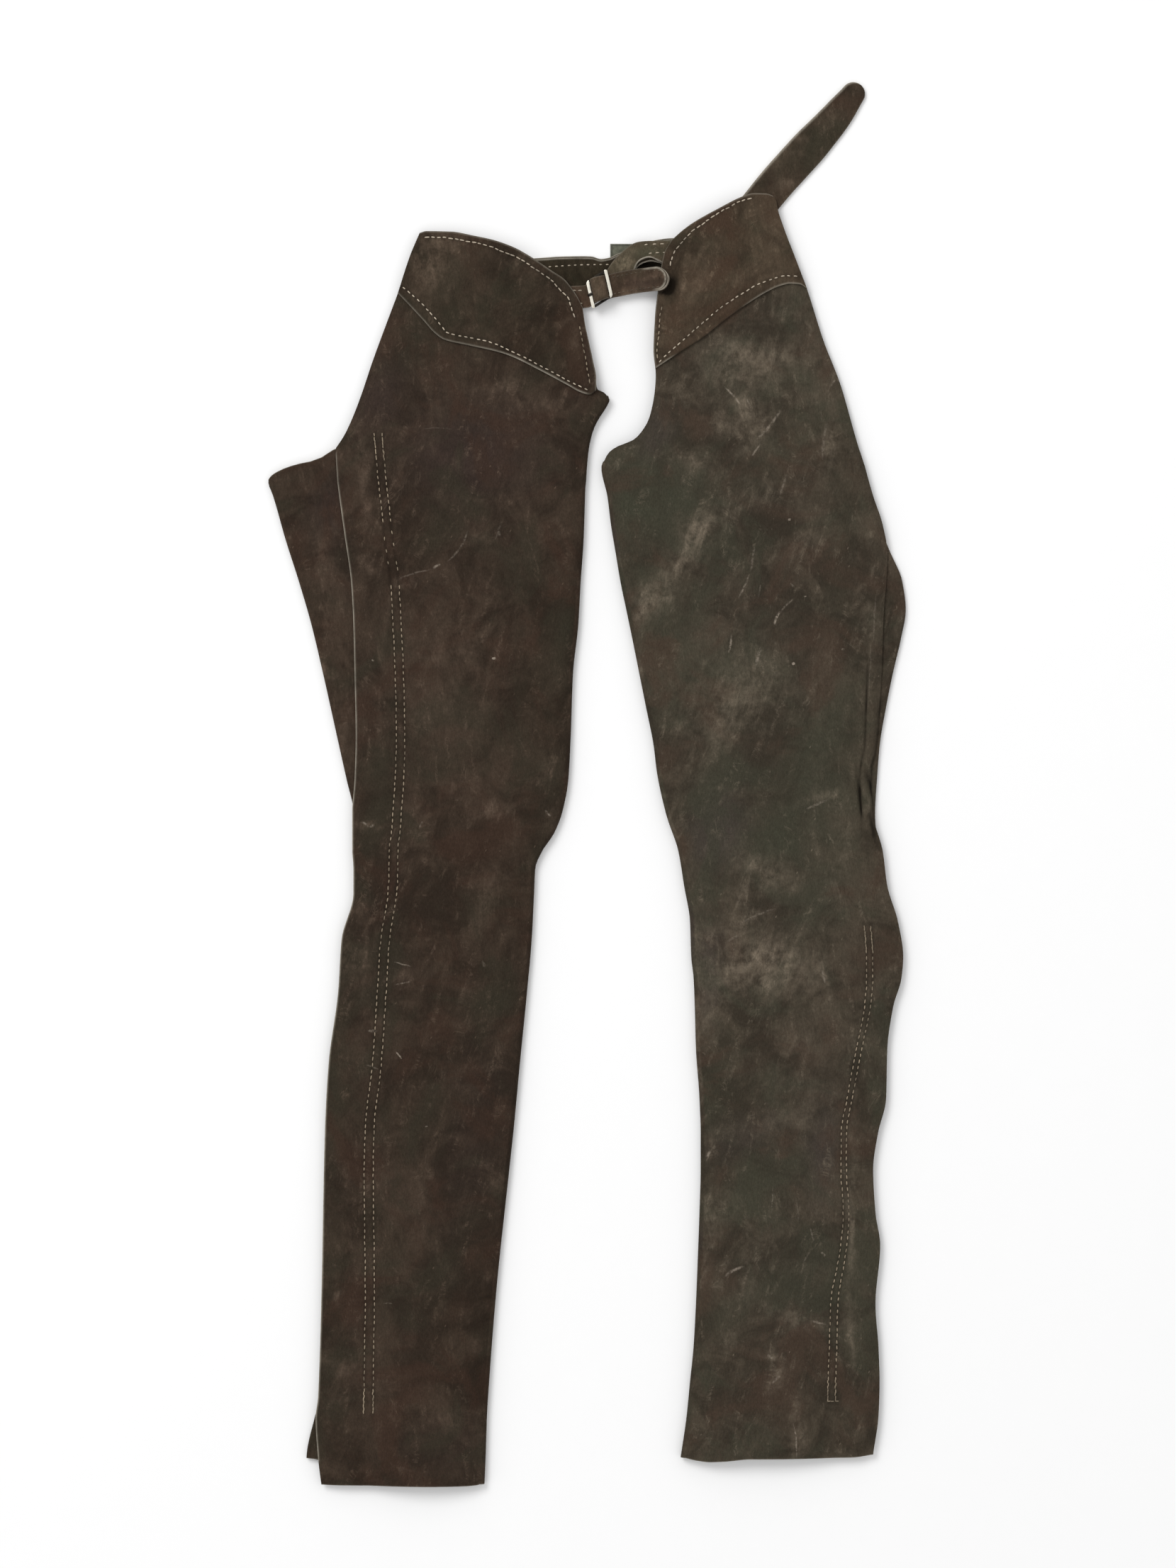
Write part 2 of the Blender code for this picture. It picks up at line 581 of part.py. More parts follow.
def centre_bar_frame(name, frame, material, collection):
    """A flat frame with two windows either side of a centre bar, its edges eased."""
    edge = frame.thickness * 0.25
    outline = bpy.data.curves.new(name, "CURVE")
    outline.dimensions = "2D"
    outline.fill_mode = "BOTH"
    outline.extrude = (frame.thickness / 2 - edge) * MM
    outline.bevel_depth = edge * MM
    outline.bevel_resolution = 1
    reach = frame.length / 2 - frame.end_bar - frame.centre_bar / 2
    near_window = reach + frame.bar_shift
    far_window = reach - frame.bar_shift
    window_height = frame.height - 2 * frame.side_bar + 2 * edge
    loops = ((0.0, frame.length - 2 * edge, frame.height - 2 * edge, frame.corner),
             (frame.bar_shift - frame.centre_bar / 2 - near_window / 2, near_window + 2 * edge, window_height,
              WINDOW_CORNER),
             (frame.bar_shift + frame.centre_bar / 2 + far_window / 2, far_window + 2 * edge, window_height,
              WINDOW_CORNER))
    for shift, loop_length, loop_height, radius in loops:
        corners = rounded_outline(loop_length, loop_height, radius)
        spline = outline.splines.new("POLY")
        spline.points.add(len(corners) - 1)
        for point, (x, y) in zip(spline.points, corners):
            point.co = ((x + shift) * MM, y * MM, 0.0, 1.0)
        spline.use_cyclic_u = True
    curve_item = bpy.data.objects.new(name + " outline", outline)
    collection.objects.link(curve_item)
    item = curve_to_mesh(curve_item, name, collection)
    item.data.materials.append(material)
    return item


def curve_to_mesh(curve_item, name, collection):
    """A curve's surface as a mesh object, its caps welded on."""
    evaluated = curve_item.evaluated_get(bpy.context.evaluated_depsgraph_get())
    mesh = bpy.data.meshes.new_from_object(evaluated)
    mesh.name = name
    shape = bmesh.new()
    shape.from_mesh(mesh)
    bmesh.ops.remove_doubles(shape, verts=shape.verts, dist=0.000005)
    shape.to_mesh(mesh)
    shape.free()
    mesh.materials.clear()
    item = bpy.data.objects.new(name, mesh)
    item.matrix_world = curve_item.matrix_world
    collection.objects.link(item)
    bpy.data.objects.remove(curve_item)
    return item


def wire_object(name, points, radius, material, collection):
    """A round wire through the given points."""
    path = bpy.data.curves.new(name, "CURVE")
    path.dimensions = "3D"
    path.bevel_depth = radius * MM
    path.bevel_resolution = 2
    path.use_fill_caps = True
    spline = path.splines.new("POLY")
    spline.points.add(len(points) - 1)
    for point, place in zip(spline.points, points):
        point.co = tuple(value * MM for value in place) + (1.0,)
    path.materials.append(material)
    item = bpy.data.objects.new(name, path)
    collection.objects.link(item)
    return item


def path_length(path):
    return sum(math.dist(a, b) for a, b in zip(path, path[1:]))


def make_legs(collection, materials):
    for side, leg, leather in (("right", RIGHT_LEG, "suede brown"), ("left", LEFT_LEG, "suede olive")):
        sheet_object(side + "_leg", leg_grids(leg), HIDE, materials[leather], collection)
        sheet_object(side + "_zip", [zip_grid(leg)], ZIP_THICKNESS, materials["zip tape"], collection)
        sheet_object(side + "_yoke", [yoke_grid(leg)], YOKE_HIDE, materials[leather], collection)


def make_billet(collection, materials):
    """The tongue of the waist belt lies on the floor, its root under the left hip."""
    tip = rounded_end(path_length(BILLET_PATH), BILLET_TIP)
    width = list(BILLET_WIDTH) + [(path_length(BILLET_PATH) - BILLET_TIP / 2, BILLET_TIP)] + tip
    distances = list(BILLET_STOPS) + [row[0] for row in width[len(BILLET_WIDTH):]]
    profile = [(distance, BILLET_HIDE / 2) for distance in distances]
    sheet_object("billet", [strap_grid(BILLET_PATH, profile, width)], BILLET_HIDE, materials["suede olive"],
                 collection)


def make_waist_belt(collection, materials):
    """Two plies that rise a little over the label, folded round the end bar of the slide."""
    bar = path_length(BELT_PATH) - SLIDE.end_bar - 2.0
    lower = BELT_PLY / 2
    upper = BELT_PLY * 1.5 + 0.2
    loop = math.hypot(SLIDE.end_bar, SLIDE.thickness) / 2 + SEAM_GAP + BELT_PLY / 2
    profile = [(stop, upper + smooth_value(LABEL_RISE, stop)) for stop in BELT_STOPS if stop < bar - 6]
    profile += [(bar - 4.5, upper + 0.5), (bar - 2.8, upper + 1.9)]
    for step in range(6):
        turn = math.radians(125 - 215 * step / 6)
        profile.append((bar + loop * math.cos(turn), SLIDE_Z + loop * math.sin(turn)))
    profile.append((bar, lower))
    profile += [(stop, lower + smooth_value(LABEL_RISE, stop)) for stop in reversed(BELT_STOPS) if stop < bar - 3]
    grid = strap_grid(BELT_PATH, profile, ((0, BELT_WIDTH), (1, BELT_WIDTH)))
    sheet_object("waist_belt", [grid], BELT_PLY, materials["suede brown"], collection)
    slide = centre_bar_frame("belt_slide", SLIDE, materials["nickel"], collection)
    point, ahead = plan_frame(BELT_PATH, bar)
    centre = point + ahead * (SLIDE.length - SLIDE.end_bar) / 2
    slide.location = (centre.x * MM, centre.y * MM, SLIDE_Z * MM)
    slide.rotation_euler = (0.0, 0.0, math.atan2(ahead.y, ahead.x))


def buckle_point(along, height):
    """A point given along the front strap from the buckle's middle bar."""
    return (BUCKLE_CENTRE[0] + along * math.cos(BUCKLE_ANGLE), BUCKLE_CENTRE[1] + along * math.sin(BUCKLE_ANGLE),
            height)


def make_front_closure(collection, materials, cutters):
    """The right hip's tongue in the buckle that the left hip's chape holds."""
    buckle = centre_bar_frame("front_buckle", BUCKLE, materials["nickel"], collection)
    buckle.location = (BUCKLE_CENTRE[0] * MM, BUCKLE_CENTRE[1] * MM, BUCKLE_Z * MM)
    buckle.rotation_euler = (0.0, 0.0, BUCKLE_ANGLE)

    chape_path = (BUCKLE_CENTRE, buckle_point(CHAPE_PAST_BAR, 0)[:2]) + CHAPE_PATH
    lower_lift = [(distance, lift * CHAPE_LOWER_LIFT_SHARE) for distance, lift in CHAPE_LIFT]
    lower_ply = [(stop, CHAPE_LOWER_Z) for stop in reversed(CHAPE_STOPS)]
    upper_ply = [(stop, CHAPE_UPPER_Z) for stop in CHAPE_STOPS]
    grid = strap_grid(chape_path, lower_ply, CHAPE_WIDTH, lower_lift)
    grid += strap_grid(chape_path, CHAPE_ROUND_THE_BAR, CHAPE_WIDTH)
    grid += strap_grid(chape_path, upper_ply, CHAPE_WIDTH, CHAPE_LIFT)
    chape = sheet_object("front_chape", [grid], CHAPE_PLY, materials["suede olive"], collection)

    tongue_path = TONGUE_BEFORE_BAR + (BUCKLE_CENTRE,) + TONGUE_PAST_BAR
    at_bar = path_length(TONGUE_BEFORE_BAR + (BUCKLE_CENTRE,))
    tip = rounded_end(path_length(tongue_path), TONGUE_TIP)
    width = [(at_bar + distance, value) for distance, value in TONGUE_WIDTH] + tip
    profile = [(at_bar + distance, height) for distance, height in TONGUE_PROFILE if at_bar + distance >= 0]
    profile += [(row[0], TONGUE_TIP_Z + TONGUE_TIP_RISE * index) for index, row in enumerate(tip)]
    tongue = sheet_object("front_strap", [strap_grid(tongue_path, profile, width)], TONGUE_HIDE,
                          materials["suede brown"], collection)

    prong = []
    for step in range(9):
        turn = math.radians(blend(PRONG_TURNS[0], PRONG_TURNS[1], step / 8))
        prong.append(buckle_point(PRONG_RING * math.cos(turn), BUCKLE_Z + PRONG_RING * math.sin(turn)))
    prong += [buckle_point(along, height) for along, height in PRONG_SHANK]
    wire_object("front_prong", prong, PRONG_WIRE, materials["nickel"], collection)
    for item, (place, size) in ((chape, CHAPE_SLOT), (tongue, TONGUE_SLOT)):
        cut(item, box_cutter(item.name + " slot", buckle_point(*place), (size[0], SLOT_WIDTH, size[1]),
                             BUCKLE_ANGLE, cutters))


def make_label(collection, materials):
    bpy.ops.mesh.primitive_cube_add(size=1)
    label = bpy.context.object
    label.name = "label"
    label.scale = Vector(LABEL_SIZE) * MM
    label.location = Vector((*LABEL_CENTRE, LABEL_SIZE[2] / 2)) * MM
    bpy.ops.object.transform_apply(location=False, rotation=False, scale=True)
    label.data.materials.append(materials["label weave"])
    move_to(label, collection)


def main():
    for item in list(bpy.data.objects):
        bpy.data.objects.remove(item)
    collection = bpy.data.collections.new("Leather chaps")
    cutters = bpy.data.collections.new("Cutters")
    bpy.context.scene.collection.children.link(collection)
    bpy.context.scene.collection.children.link(cutters)
    materials = {
        "suede brown": make_material("suede brown", 0.95),
        "suede olive": make_material("suede olive", 0.95),
        "zip tape": make_material("zip tape", 0.9),
        "nickel": make_material("nickel", 0.3, 1.0),
        "label weave": make_material("label weave", 0.85),
    }
    make_legs(collection, materials)
    make_billet(collection, materials)
    make_waist_belt(collection, materials)
    make_front_closure(collection, materials, cutters)
    make_label(collection, materials)


main()
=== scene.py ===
import bisect
import json
import math
import random
from collections import namedtuple
from contextlib import contextmanager

import bmesh
import bpy
from bpy.props import FloatProperty, FloatVectorProperty, PointerProperty
from mathutils import Matrix, Vector, noise

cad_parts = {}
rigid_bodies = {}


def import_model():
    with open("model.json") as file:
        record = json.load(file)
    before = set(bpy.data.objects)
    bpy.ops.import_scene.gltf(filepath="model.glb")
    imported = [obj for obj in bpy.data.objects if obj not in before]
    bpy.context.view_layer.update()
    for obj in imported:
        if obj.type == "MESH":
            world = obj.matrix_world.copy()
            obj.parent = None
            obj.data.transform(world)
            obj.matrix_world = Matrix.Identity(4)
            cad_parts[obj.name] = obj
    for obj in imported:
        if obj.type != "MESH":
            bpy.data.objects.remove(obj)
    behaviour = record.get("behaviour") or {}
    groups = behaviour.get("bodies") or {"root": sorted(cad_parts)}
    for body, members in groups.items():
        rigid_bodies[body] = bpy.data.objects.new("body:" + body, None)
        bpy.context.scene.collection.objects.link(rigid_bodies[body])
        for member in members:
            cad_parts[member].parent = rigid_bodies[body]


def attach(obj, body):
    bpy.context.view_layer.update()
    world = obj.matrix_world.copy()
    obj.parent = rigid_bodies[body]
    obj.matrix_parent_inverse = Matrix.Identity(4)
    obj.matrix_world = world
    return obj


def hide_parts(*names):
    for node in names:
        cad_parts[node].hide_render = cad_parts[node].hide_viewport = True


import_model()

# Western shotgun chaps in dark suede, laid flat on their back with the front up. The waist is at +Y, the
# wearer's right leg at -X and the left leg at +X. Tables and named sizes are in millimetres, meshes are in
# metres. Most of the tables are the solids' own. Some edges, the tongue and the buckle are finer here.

bl_info = {
    "name": "Leather chaps",
    "version": (1, 0, 0),
    "blender": (4, 5, 0),
    "location": "3D View > Sidebar > Chaps",
    "description": "Dresses a pair of shotgun chaps with suede, stitching, zips and nickel hardware",
    "category": "Object",
}

MM = 0.001
ALONG_X = (0.0, math.pi / 2, 0.0)

# Leather
HIDE = 1.8
YOKE_HIDE = 2.0
SEAM_GAP = 0.3
BACK_Z = HIDE / 2
YOKE_LIFT = HIDE / 2 + SEAM_GAP + YOKE_HIDE / 2

# A leg's two folds: radius and the stretch below the top in which it is pinched, then how far the outermost
# line hangs below its row at the top and the stretch in which it comes to do so
Turn = namedtuple("Turn", "radius pinch droop droop_from")
TURNS = {"inner": Turn(radius=3.4, pinch=26, droop=1.5, droop_from=9),
         "outer": Turn(radius=1.6, pinch=14, droop=2.4, droop_from=12)}
TURNED_BACK_Z = BACK_Z + 2 * TURNS["outer"].radius
PINCHED_RADIUS = 0.7
FOLD_STEPS = 9

# Soft unevenness of the fronts and of the backs, as height and size of its patches
RIPPLE = (0.36, 48)
SMALL_RIPPLE = (0.2, 17)
BACK_RIDGE = (1.1, 60)

# Zip under the flap
TAPE_THICKNESS = 0.7
TAPE_Z = TURNED_BACK_Z + HIDE / 2 + SEAM_GAP + TAPE_THICKNESS / 2
ZIP_INNER_MARGIN = 5.0
ZIP_OUTER_SHARE = 0.62
CHAIN_SHARE = 0.30
CHAIN_RIDGE = 0.9
CHAIN_RIDGE_WIDTH = 4.0
TURNED_BACK_SHARE = 0.15
TOOTH_PITCH = 2.5


def mirrored(*values):
    """The values below and above 0, with 0 itself in the middle."""
    return [-value for value in reversed(values)] + [0.0, *values]


# Rows of a leg, and bands of closer columns along its raw edges and its stitching
WRAP_ROWS = 200
UPPER_ROWS = 46
EDGE_BAND = (0.0, 0.9, 1.8, 3.2)
STITCH_BAND = mirrored(1.0, 2.0, 2.9, 3.6, 4.3, 5.2, 6.4)
NARROW_FLAP = 14.0
FLAP_COLUMNS = 11
FRONT_COLUMNS = 62
BACK_COLUMNS = 30
TURNED_COLUMNS = 16
YOKE_COLUMNS = 104
YOKE_ROWS = 42
STRAP_SHARES = mirrored(0.18, 0.34, 0.46, 0.56, 0.64, 0.7, 0.75, 0.8, 0.85, 0.9, 0.95, 1.0)

# A strap's curl as (distance, amount), and how much its edge rises for each millimetre that it turns in
NO_CURL = ((0, 0), (1, 0))
CURL_RISE = 0.7

# Stitching
FURROW = 0.28
FURROW_WIDTH = 0.9
SEAM_SHADE_WIDTH = 1.4
CREASE = 0.8
CREASE_WIDTH = 1.7
YOKE_FURROW = 0.2
BACK_TACK = 20.0

# Rows of the tables, and all the tables of one leg; inward is the direction of the other leg along X
Section = namedtuple("Section", "y outer flap zip inner")
Height = namedtuple("Height", "y edge zip inner swell")
Fold = namedtuple("Fold", "x y angle length width height")
Ends = namedtuple("Ends", "flap inner outer zip")
Leg = namedtuple("Leg", "inward sections heights folds hem top back_top hip centre waist"
                 " yoke_hip yoke_centre yoke_hem yoke_raw zip_span")
Stain = namedtuple("Stain", "tone x y angle length width amount")
Scratch = namedtuple("Scratch", "x y end_x end_y bow width strength")

# A point of a sheet, how much raw edge it shows, how much painted shade it takes in a seam, a crease, a
# fold's turn and the like, and 1 on the front or 0 on the back
Spot = namedtuple("Spot", "x y z raw seam front")
# Tones: pale is rubbed wear with a few painted highlights on ridges among it, dark is mostly painted shade
# and shadow
TONES = ("pale", "olive", "violet", "dark")

# Lines of each leg seen from above, as x at each y: the outer fold, the flap edge (the hip edge above the
# zip), the zip stitching and the inner fold (the centre edge above the crotch)
RIGHT_SECTIONS = [Section(*row) for row in (
    (-594.6, -239, -225, -185, -87), (-570, -238, -228, -185, -86), (-537, -231, -230, -185, -85),
    (-520, -226, -228, -185, -84), (-430, -223, -225, -184, -77), (-327, -221, -223, -185, -66),
    (-290, -220, -222, -184, -62), (-237, -217, -219, -178, -57), (-177, -209, -211, -174, -51),
    (-132, -206, -208, -171, -47), (-93, -196, -198, -165, -45), (-72, -196, -198, -164, -44),
    (-57, -197, -199, -164, -38), (-42, -197, -199, -162, -28), (-24, -198, -199, -161, -21),
    (3, -204, -197, -159, -16), (39, -212, -196, -158, -14), (93, -224, -197, -159, -12),
    (135, -234, -198, -161, -7.5), (171, -244.5, -200, -163, -5.5), (207, -256, -205, -168, -3),
    (243, -266.3, -210, -172, -1.8), (251, -269.2, -211, -173, -1.5), (255, -270.3, -211.5, -173.5, -1),
    (262, -270.3, -212, -174, -0.6), (282, -272, -213, -175.8, 1.2), (297, -272, -205, -177, 4.4),
    (307, -272, -199, -176, 8.6), (321, -272, -194, -172, 17.2), (326, -272, -192, -170, 18.8),
    (336, -272, -189, -163, 8), (357, -272, -182, -158, 4), (403, -272, -165, -145, -6),
    (470, -272, -140, -125, -8))]

RIGHT_HEIGHTS = [Height(*row) for row in (
    (-594, 6.2, 8.4, 7.7, 7.0), (-300, 6.2, 8.4, 7.7, 4.5), (-60, 6.2, 8.4, 7.7, 6.0),
    (150, 6.2, 8.4, 7.7, 8.5), (292, 6.2, 8.4, 7.7, 6.0), (335, 4.8, 6.4, 7.2, 3.0),
    (375, 4.2, 5.2, 6.8, 1.2), (470, 4.2, 4.6, 6.8, 0.4))]

LEFT_SECTIONS = [Section(*row) for row in (
    (-572, 241, 242, 207, 79), (-537, 244, 246.5, 207, 84), (-507, 245, 247.5, 207, 87),
    (-477, 244, 246.5, 208, 90), (-441, 242, 244, 209, 92), (-391, 245, 248, 217, 94),
    (-364, 241, 244, 219, 95), (-327, 239, 242, 217, 96), (-297, 243, 246, 217, 96),
    (-267, 250, 253, 222, 95), (-225, 251, 254, 230, 92), (-189, 256, 259, 237, 91),
    (-165, 263, 266, 239, 90), (-147, 264, 267.5, 239, 88), (-117, 259, 263, 237, 87),
    (-87, 251, 254, 236, 82), (-57, 247, 250, 234, 77), (-27, 244, 242, 232, 67), (9, 246, 240, 231, 59),
    (33, 248, 245, 235, 56), (63, 253, 247, 236, 50), (93, 259, 249, 237, 44), (123, 266, 250, 238, 38),
    (147, 270, 251, 240, 33), (171, 267, 253, 240, 28), (195, 257, 254, 239, 24), (219, 247, 250, 236, 20),
    (243, 239, 242, 230, 17), (268, 234, 235, 224, 11.9), (273, 233.4, 233.8, 221, 13.0),
    (281, 232, 231, 216, 20), (290, 230, 228, 209, 39), (304, 226, 224, 199, 50), (334, 216, 215, 182, 58),
    (366, 200, 203, 167, 56), (414, 190, 187, 150, 60), (451, 180, 174, 138, 66), (499, 170, 157, 128, 78))]

LEFT_HEIGHTS = [Height(*row) for row in (
    (-572, 6.2, 8.4, 7.7, 7.0), (-300, 6.2, 8.4, 7.7, 4.5), (-60, 6.2, 8.4, 7.7, 6.0),
    (150, 6.2, 8.4, 7.7, 8.5), (255, 6.2, 8.4, 7.7, 6.5), (300, 5.2, 7.0, 7.7, 4.5),
    (350, 4.6, 5.8, 7.7, 2.0), (420, 4.8, 6.2, 8.5, 0.8), (455, 5.0, 6.4, 8.7, 0.4),
    (499, 4.8, 5.4, 8.0, 0.2))]

# Largest folds of the fronts: middle, angle from +X in degrees, half length, half width and height
RIGHT_FOLDS = [Fold(*row) for row in (
    (-88, -52, 30, 62, 15, 1.6), (-96, -100, 12, 58, 14, 1.3), (-98, -76, 20, 56, 12, -1.2),
    (-120, 190, 24, 60, 22, 1.3), (-60, 255, 10, 60, 20, -1.2), (-125, -330, 78, 90, 22, 1.1))]
LEFT_FOLDS = [Fold(*row) for row in (
    (152, -72, -16, 62, 16, 1.5), (165, -152, -8, 60, 20, 1.6), (158, -112, -14, 60, 15, -1.5),
    (88, 182, 50, 85, 16, 1.4), (148, 290, 60, 48, 22, 1.3), (165, -400, 84, 90, 22, 1.1))]

# Outlines of the fronts above the crotch
RIGHT_HIP = ((-213, 284), (-206, 294), (-199, 309), (-191, 330), (-182, 357), (-165, 403), (-160.5, 415),
             (-150, 447), (-142, 466))
RIGHT_YOKE_HIP = RIGHT_HIP[6:]
RIGHT_CENTRE = ((19, 326), (15, 330), (12, 331.8), (9, 333), (7.6, 337), (7.2, 343), (5, 357), (1.5, 373),
                (-2, 389), (-4, 403))
RIGHT_YOKE_CENTRE = ((7.5, 332.5), (7.5, 343)) + RIGHT_CENTRE[6:]
RIGHT_WAIST = ((-142, 466), (-136, 467.5), (-115, 467), (-96, 463.5), (-80, 460), (-63, 454), (-50, 447),
               (-29, 433), (-20, 427), (-14, 420), (-8, 411), (-4, 403))
RIGHT_YOKE_HEM = ((-160.5, 415), (-150, 404), (-138, 391), (-129, 381), (-121, 375.5), (-101, 370.8),
                  (-77, 365.4), (-65, 361.5), (-41, 349.8), (-17, 337), (-5, 330.6), (2, 328.8), (7.5, 332.5))
RIGHT_YOKE_RAW = ((0, 0.5), (0.4, 0.5), (0.6, 0.95), (0.93, 0.9), (0.97, 0.1), (1, 0))
RIGHT_BACK_TOP = ((-270, 257.4), (-268.7, 259.4), (-267, 261.2), (-263, 263.8), (-257, 266.7), (-245, 270.6),
                  (-233, 273.1), (-221, 278.3), (-213, 284), (-180, 293), (-100, 308),
                  (-30, 319), (0, 324.5), (19, 328))

LEFT_HIP = ((235, 268), (229.5, 285), (214, 339), (200, 375), (186, 419), (176, 445), (165, 474), (161, 487),
            (160, 493), (157, 497.5))
LEFT_YOKE_HIP = LEFT_HIP[4:]
LEFT_CENTRE = ((14.5, 272.5), (17.5, 279), (25.5, 285), (33, 288), (40, 291.3), (47, 299), (52, 308),
               (55, 319), (57, 331), (58, 345), (56.5, 366), (57, 390), (61, 426), (65, 448), (72, 460))
LEFT_YOKE_CENTRE = ((57.5, 351), (56, 366)) + LEFT_CENTRE[11:]
LEFT_WAIST = ((157, 497.5), (151, 499.3), (141, 499.5), (132, 497), (112, 487), (90, 474.5), (81, 468),
              (72, 460))
LEFT_YOKE_HEM = ((186, 419), (180, 422.5), (172, 423), (163, 421), (152, 416), (130, 402), (115, 391),
                 (99, 378), (82, 367), (68, 358), (57.5, 351))
LEFT_YOKE_RAW = ((0, 0.6), (0.3, 0.6), (0.42, 0.05), (0.84, 0.0), (0.93, 0.7), (1, 0.6))
LEFT_BACK_TOP = ((12, 272.5), (26, 270), (60, 266), (120, 264), (200, 262), (237, 255))

RIGHT_LEG = Leg(inward=1, sections=RIGHT_SECTIONS, heights=RIGHT_HEIGHTS, folds=RIGHT_FOLDS,
                hem=Ends(flap=-593, inner=-594.6, outer=-572, zip=-573),
                top=Ends(flap=284, inner=328, outer=259, zip=292),
                back_top=RIGHT_BACK_TOP, hip=RIGHT_HIP, centre=RIGHT_CENTRE, waist=RIGHT_WAIST,
                yoke_hip=RIGHT_YOKE_HIP, yoke_centre=RIGHT_YOKE_CENTRE, yoke_hem=RIGHT_YOKE_HEM,
                yoke_raw=RIGHT_YOKE_RAW, zip_span=(-531, 288))
LEFT_LEG = Leg(inward=-1, sections=LEFT_SECTIONS, heights=LEFT_HEIGHTS, folds=LEFT_FOLDS,
               hem=Ends(flap=-572, inner=-572, outer=-570, zip=-571),
               top=Ends(flap=268, inner=272.5, outer=255, zip=262),
               back_top=LEFT_BACK_TOP, hip=LEFT_HIP, centre=LEFT_CENTRE, waist=LEFT_WAIST,
               yoke_hip=LEFT_YOKE_HIP, yoke_centre=LEFT_YOKE_CENTRE, yoke_hem=LEFT_YOKE_HEM,
               yoke_raw=LEFT_YOKE_RAW, zip_span=(-523, 256))

# Straps. A profile is a list of (distance along the plan path, height of the leather's middle)
BILLET_HIDE = 2.6
BILLET_PATH = ((130, 471), (145, 490), (160.4, 508.9), (177, 527.4), (193.3, 545.3), (209.8, 564),
               (231.5, 592.4))
BILLET_WIDTH = ((0, 30), (85, 31), (108, 28.5), (130, 25))
BILLET_TIP = 20.0

BELT_PLY = 1.2
BELT_WIDTH = 32.0
BELT_PATH = ((-118, 421), (-77, 425), (-41, 428), (4, 430.5), (20, 430.5), (36, 434), (52, 441), (70, 445),
             (86, 446.5), (96, 447))
BELT_EDGE = ((0, 0), (90, 0), (108, -0.6), (122, -1.2), (130, -3.4), (141, -1.4), (152, 0), (200, 0))
BELT_STOPS = (0, 20, 40, 60, 80, 100, 112, 124, 136, 148, 160, 172, 184, 194)
LABEL_RISE = ((0, 0.0), (118, 0.0), (136, 0.9), (168, 0.9), (186, 0.0), (220, 0.0))

CHAPE_PLY = 1.1
CHAPE_PAST_BAR = 6
CHAPE_PATH = ((20, 422.8), (24, 427.6), (28, 433.8), (32.4, 439.2), (38, 443.5), (46, 447), (55, 449),
              (66, 449.5), (84, 449))
CHAPE_WIDTH = ((-4, 19.0), (6, 19.0), (14, 20.0), (90, 20.0))
CHAPE_STOPS = (10, 15, 20, 27, 34, 41, 48, 55, 62, 74)
CHAPE_CURL = ((0, 0), (31.5, 0), (36, 2.2), (41, 5.4), (46, 6.9), (51, 7.2), (56, 6.2), (62, 2.8), (68, 0),
              (90, 0))
CHAPE_LOWER_CURL_SHARE = 0.54
CHAPE_BULGE = ((0, 0), (34, 0), (46, 2.0), (58, 0.4), (90, 0))
CHAPE_LOWER_Z = 4.35
CHAPE_UPPER_Z = 5.65
CHAPE_ROUND_THE_BAR = ((6, 4.35), (3.6, 4.5), (2.0, 5.0), (0.4, 6.2), (-1.0, 7.6), (-2.1, 8.9), (-2.35, 9.8),
                       (-2.0, 11.0), (-1.2, 11.8), (0.0, 12.15), (1.2, 11.8), (2.0, 11.0), (2.35, 9.8),
                       (2.35, 8.2), (2.6, 6.9), (3.4, 6.0), (4.8, 5.65))

# The tongue of the front strap goes under, over and under the three bars; distances are from the middle bar
TONGUE_HIDE = 1.8
TONGUE_BEFORE_BAR = ((-31, 411.5), (-10, 411.9), (-1, 412.4), (4.5, 416.2))
TONGUE_LEAN = ((0, 2), (26, 4), (31, 10), (36, 12.5), (60, 13), (70, 12), (90, 9), (120, 6))
TONGUE_PAST_BAR = ((22, 421.4), (44, 425.3), (69, 426.6))
TONGUE_WIDTH = ((-60, 19.0), (-9, 19.0), (-7.4, 19.2), (-5, 20.4), (-2, 20.8), (3, 20.0), (6, 19.6),
                (9, 20.0), (20, 20.4), (46, 20.4))
TONGUE_TIP = 20.4
TONGUE_TIP_Z = 17.4
TONGUE_TIP_RISE = 0.055
TONGUE_PROFILE = ((-40, 3.9), (-30, 3.9), (-20, 4.1), (-12, 4.8), (-9, 5.2), (-6.8, 5.9), (-6.0, 7.2),
                  (-5.8, 9.4), (-5.5, 11.8), (-4.4, 13.6), (-2.2, 14.6), (0, 14.8), (2.2, 14.6), (4.4, 13.6),
                  (5.5, 11.8), (5.8, 9.8), (6.1, 8.4), (7.2, 7.6), (9.4, 7.5), (14, 7.5), (22, 7.6),
                  (30, 8.2), (38, 10.6), (44, 14.2), (49, 17.2))

# A centre-bar frame lies along its strap, its bars across it
Frame = namedtuple("Frame", "length height end_bar side_bar centre_bar bar_shift thickness corner")
BUCKLE = Frame(length=19.6, height=24.0, end_bar=2.5, side_bar=2.2, centre_bar=2.0, bar_shift=0.0,
               thickness=2.2, corner=2.6)
BUCKLE_CENTRE = (10.3, 418.2)
BUCKLE_RACK = 0.35
BUCKLE_Z = 9.8
BUCKLE_ANGLE = math.radians(13)
SLIDE = Frame(length=34.0, height=42.0, end_bar=2.4, side_bar=4.0, centre_bar=4.0, bar_shift=3.0,
              thickness=2.4, corner=3.0)
SLIDE_Z = 2.9
WINDOW_CORNER = 1.2

PRONG_SIZE = (8.4, 2.5, 1.2)
PRONG_MIDDLE = (-6.9, -2.59, 1.75)
PRONG_TIP_FROM = -4.0

LABEL_SIZE = (26.0, 32.0, 0.6)
LABEL_CENTRE = (32.5, 441.5)
LABEL_MARGIN = 0.8
LABEL_BORDER = 1.1


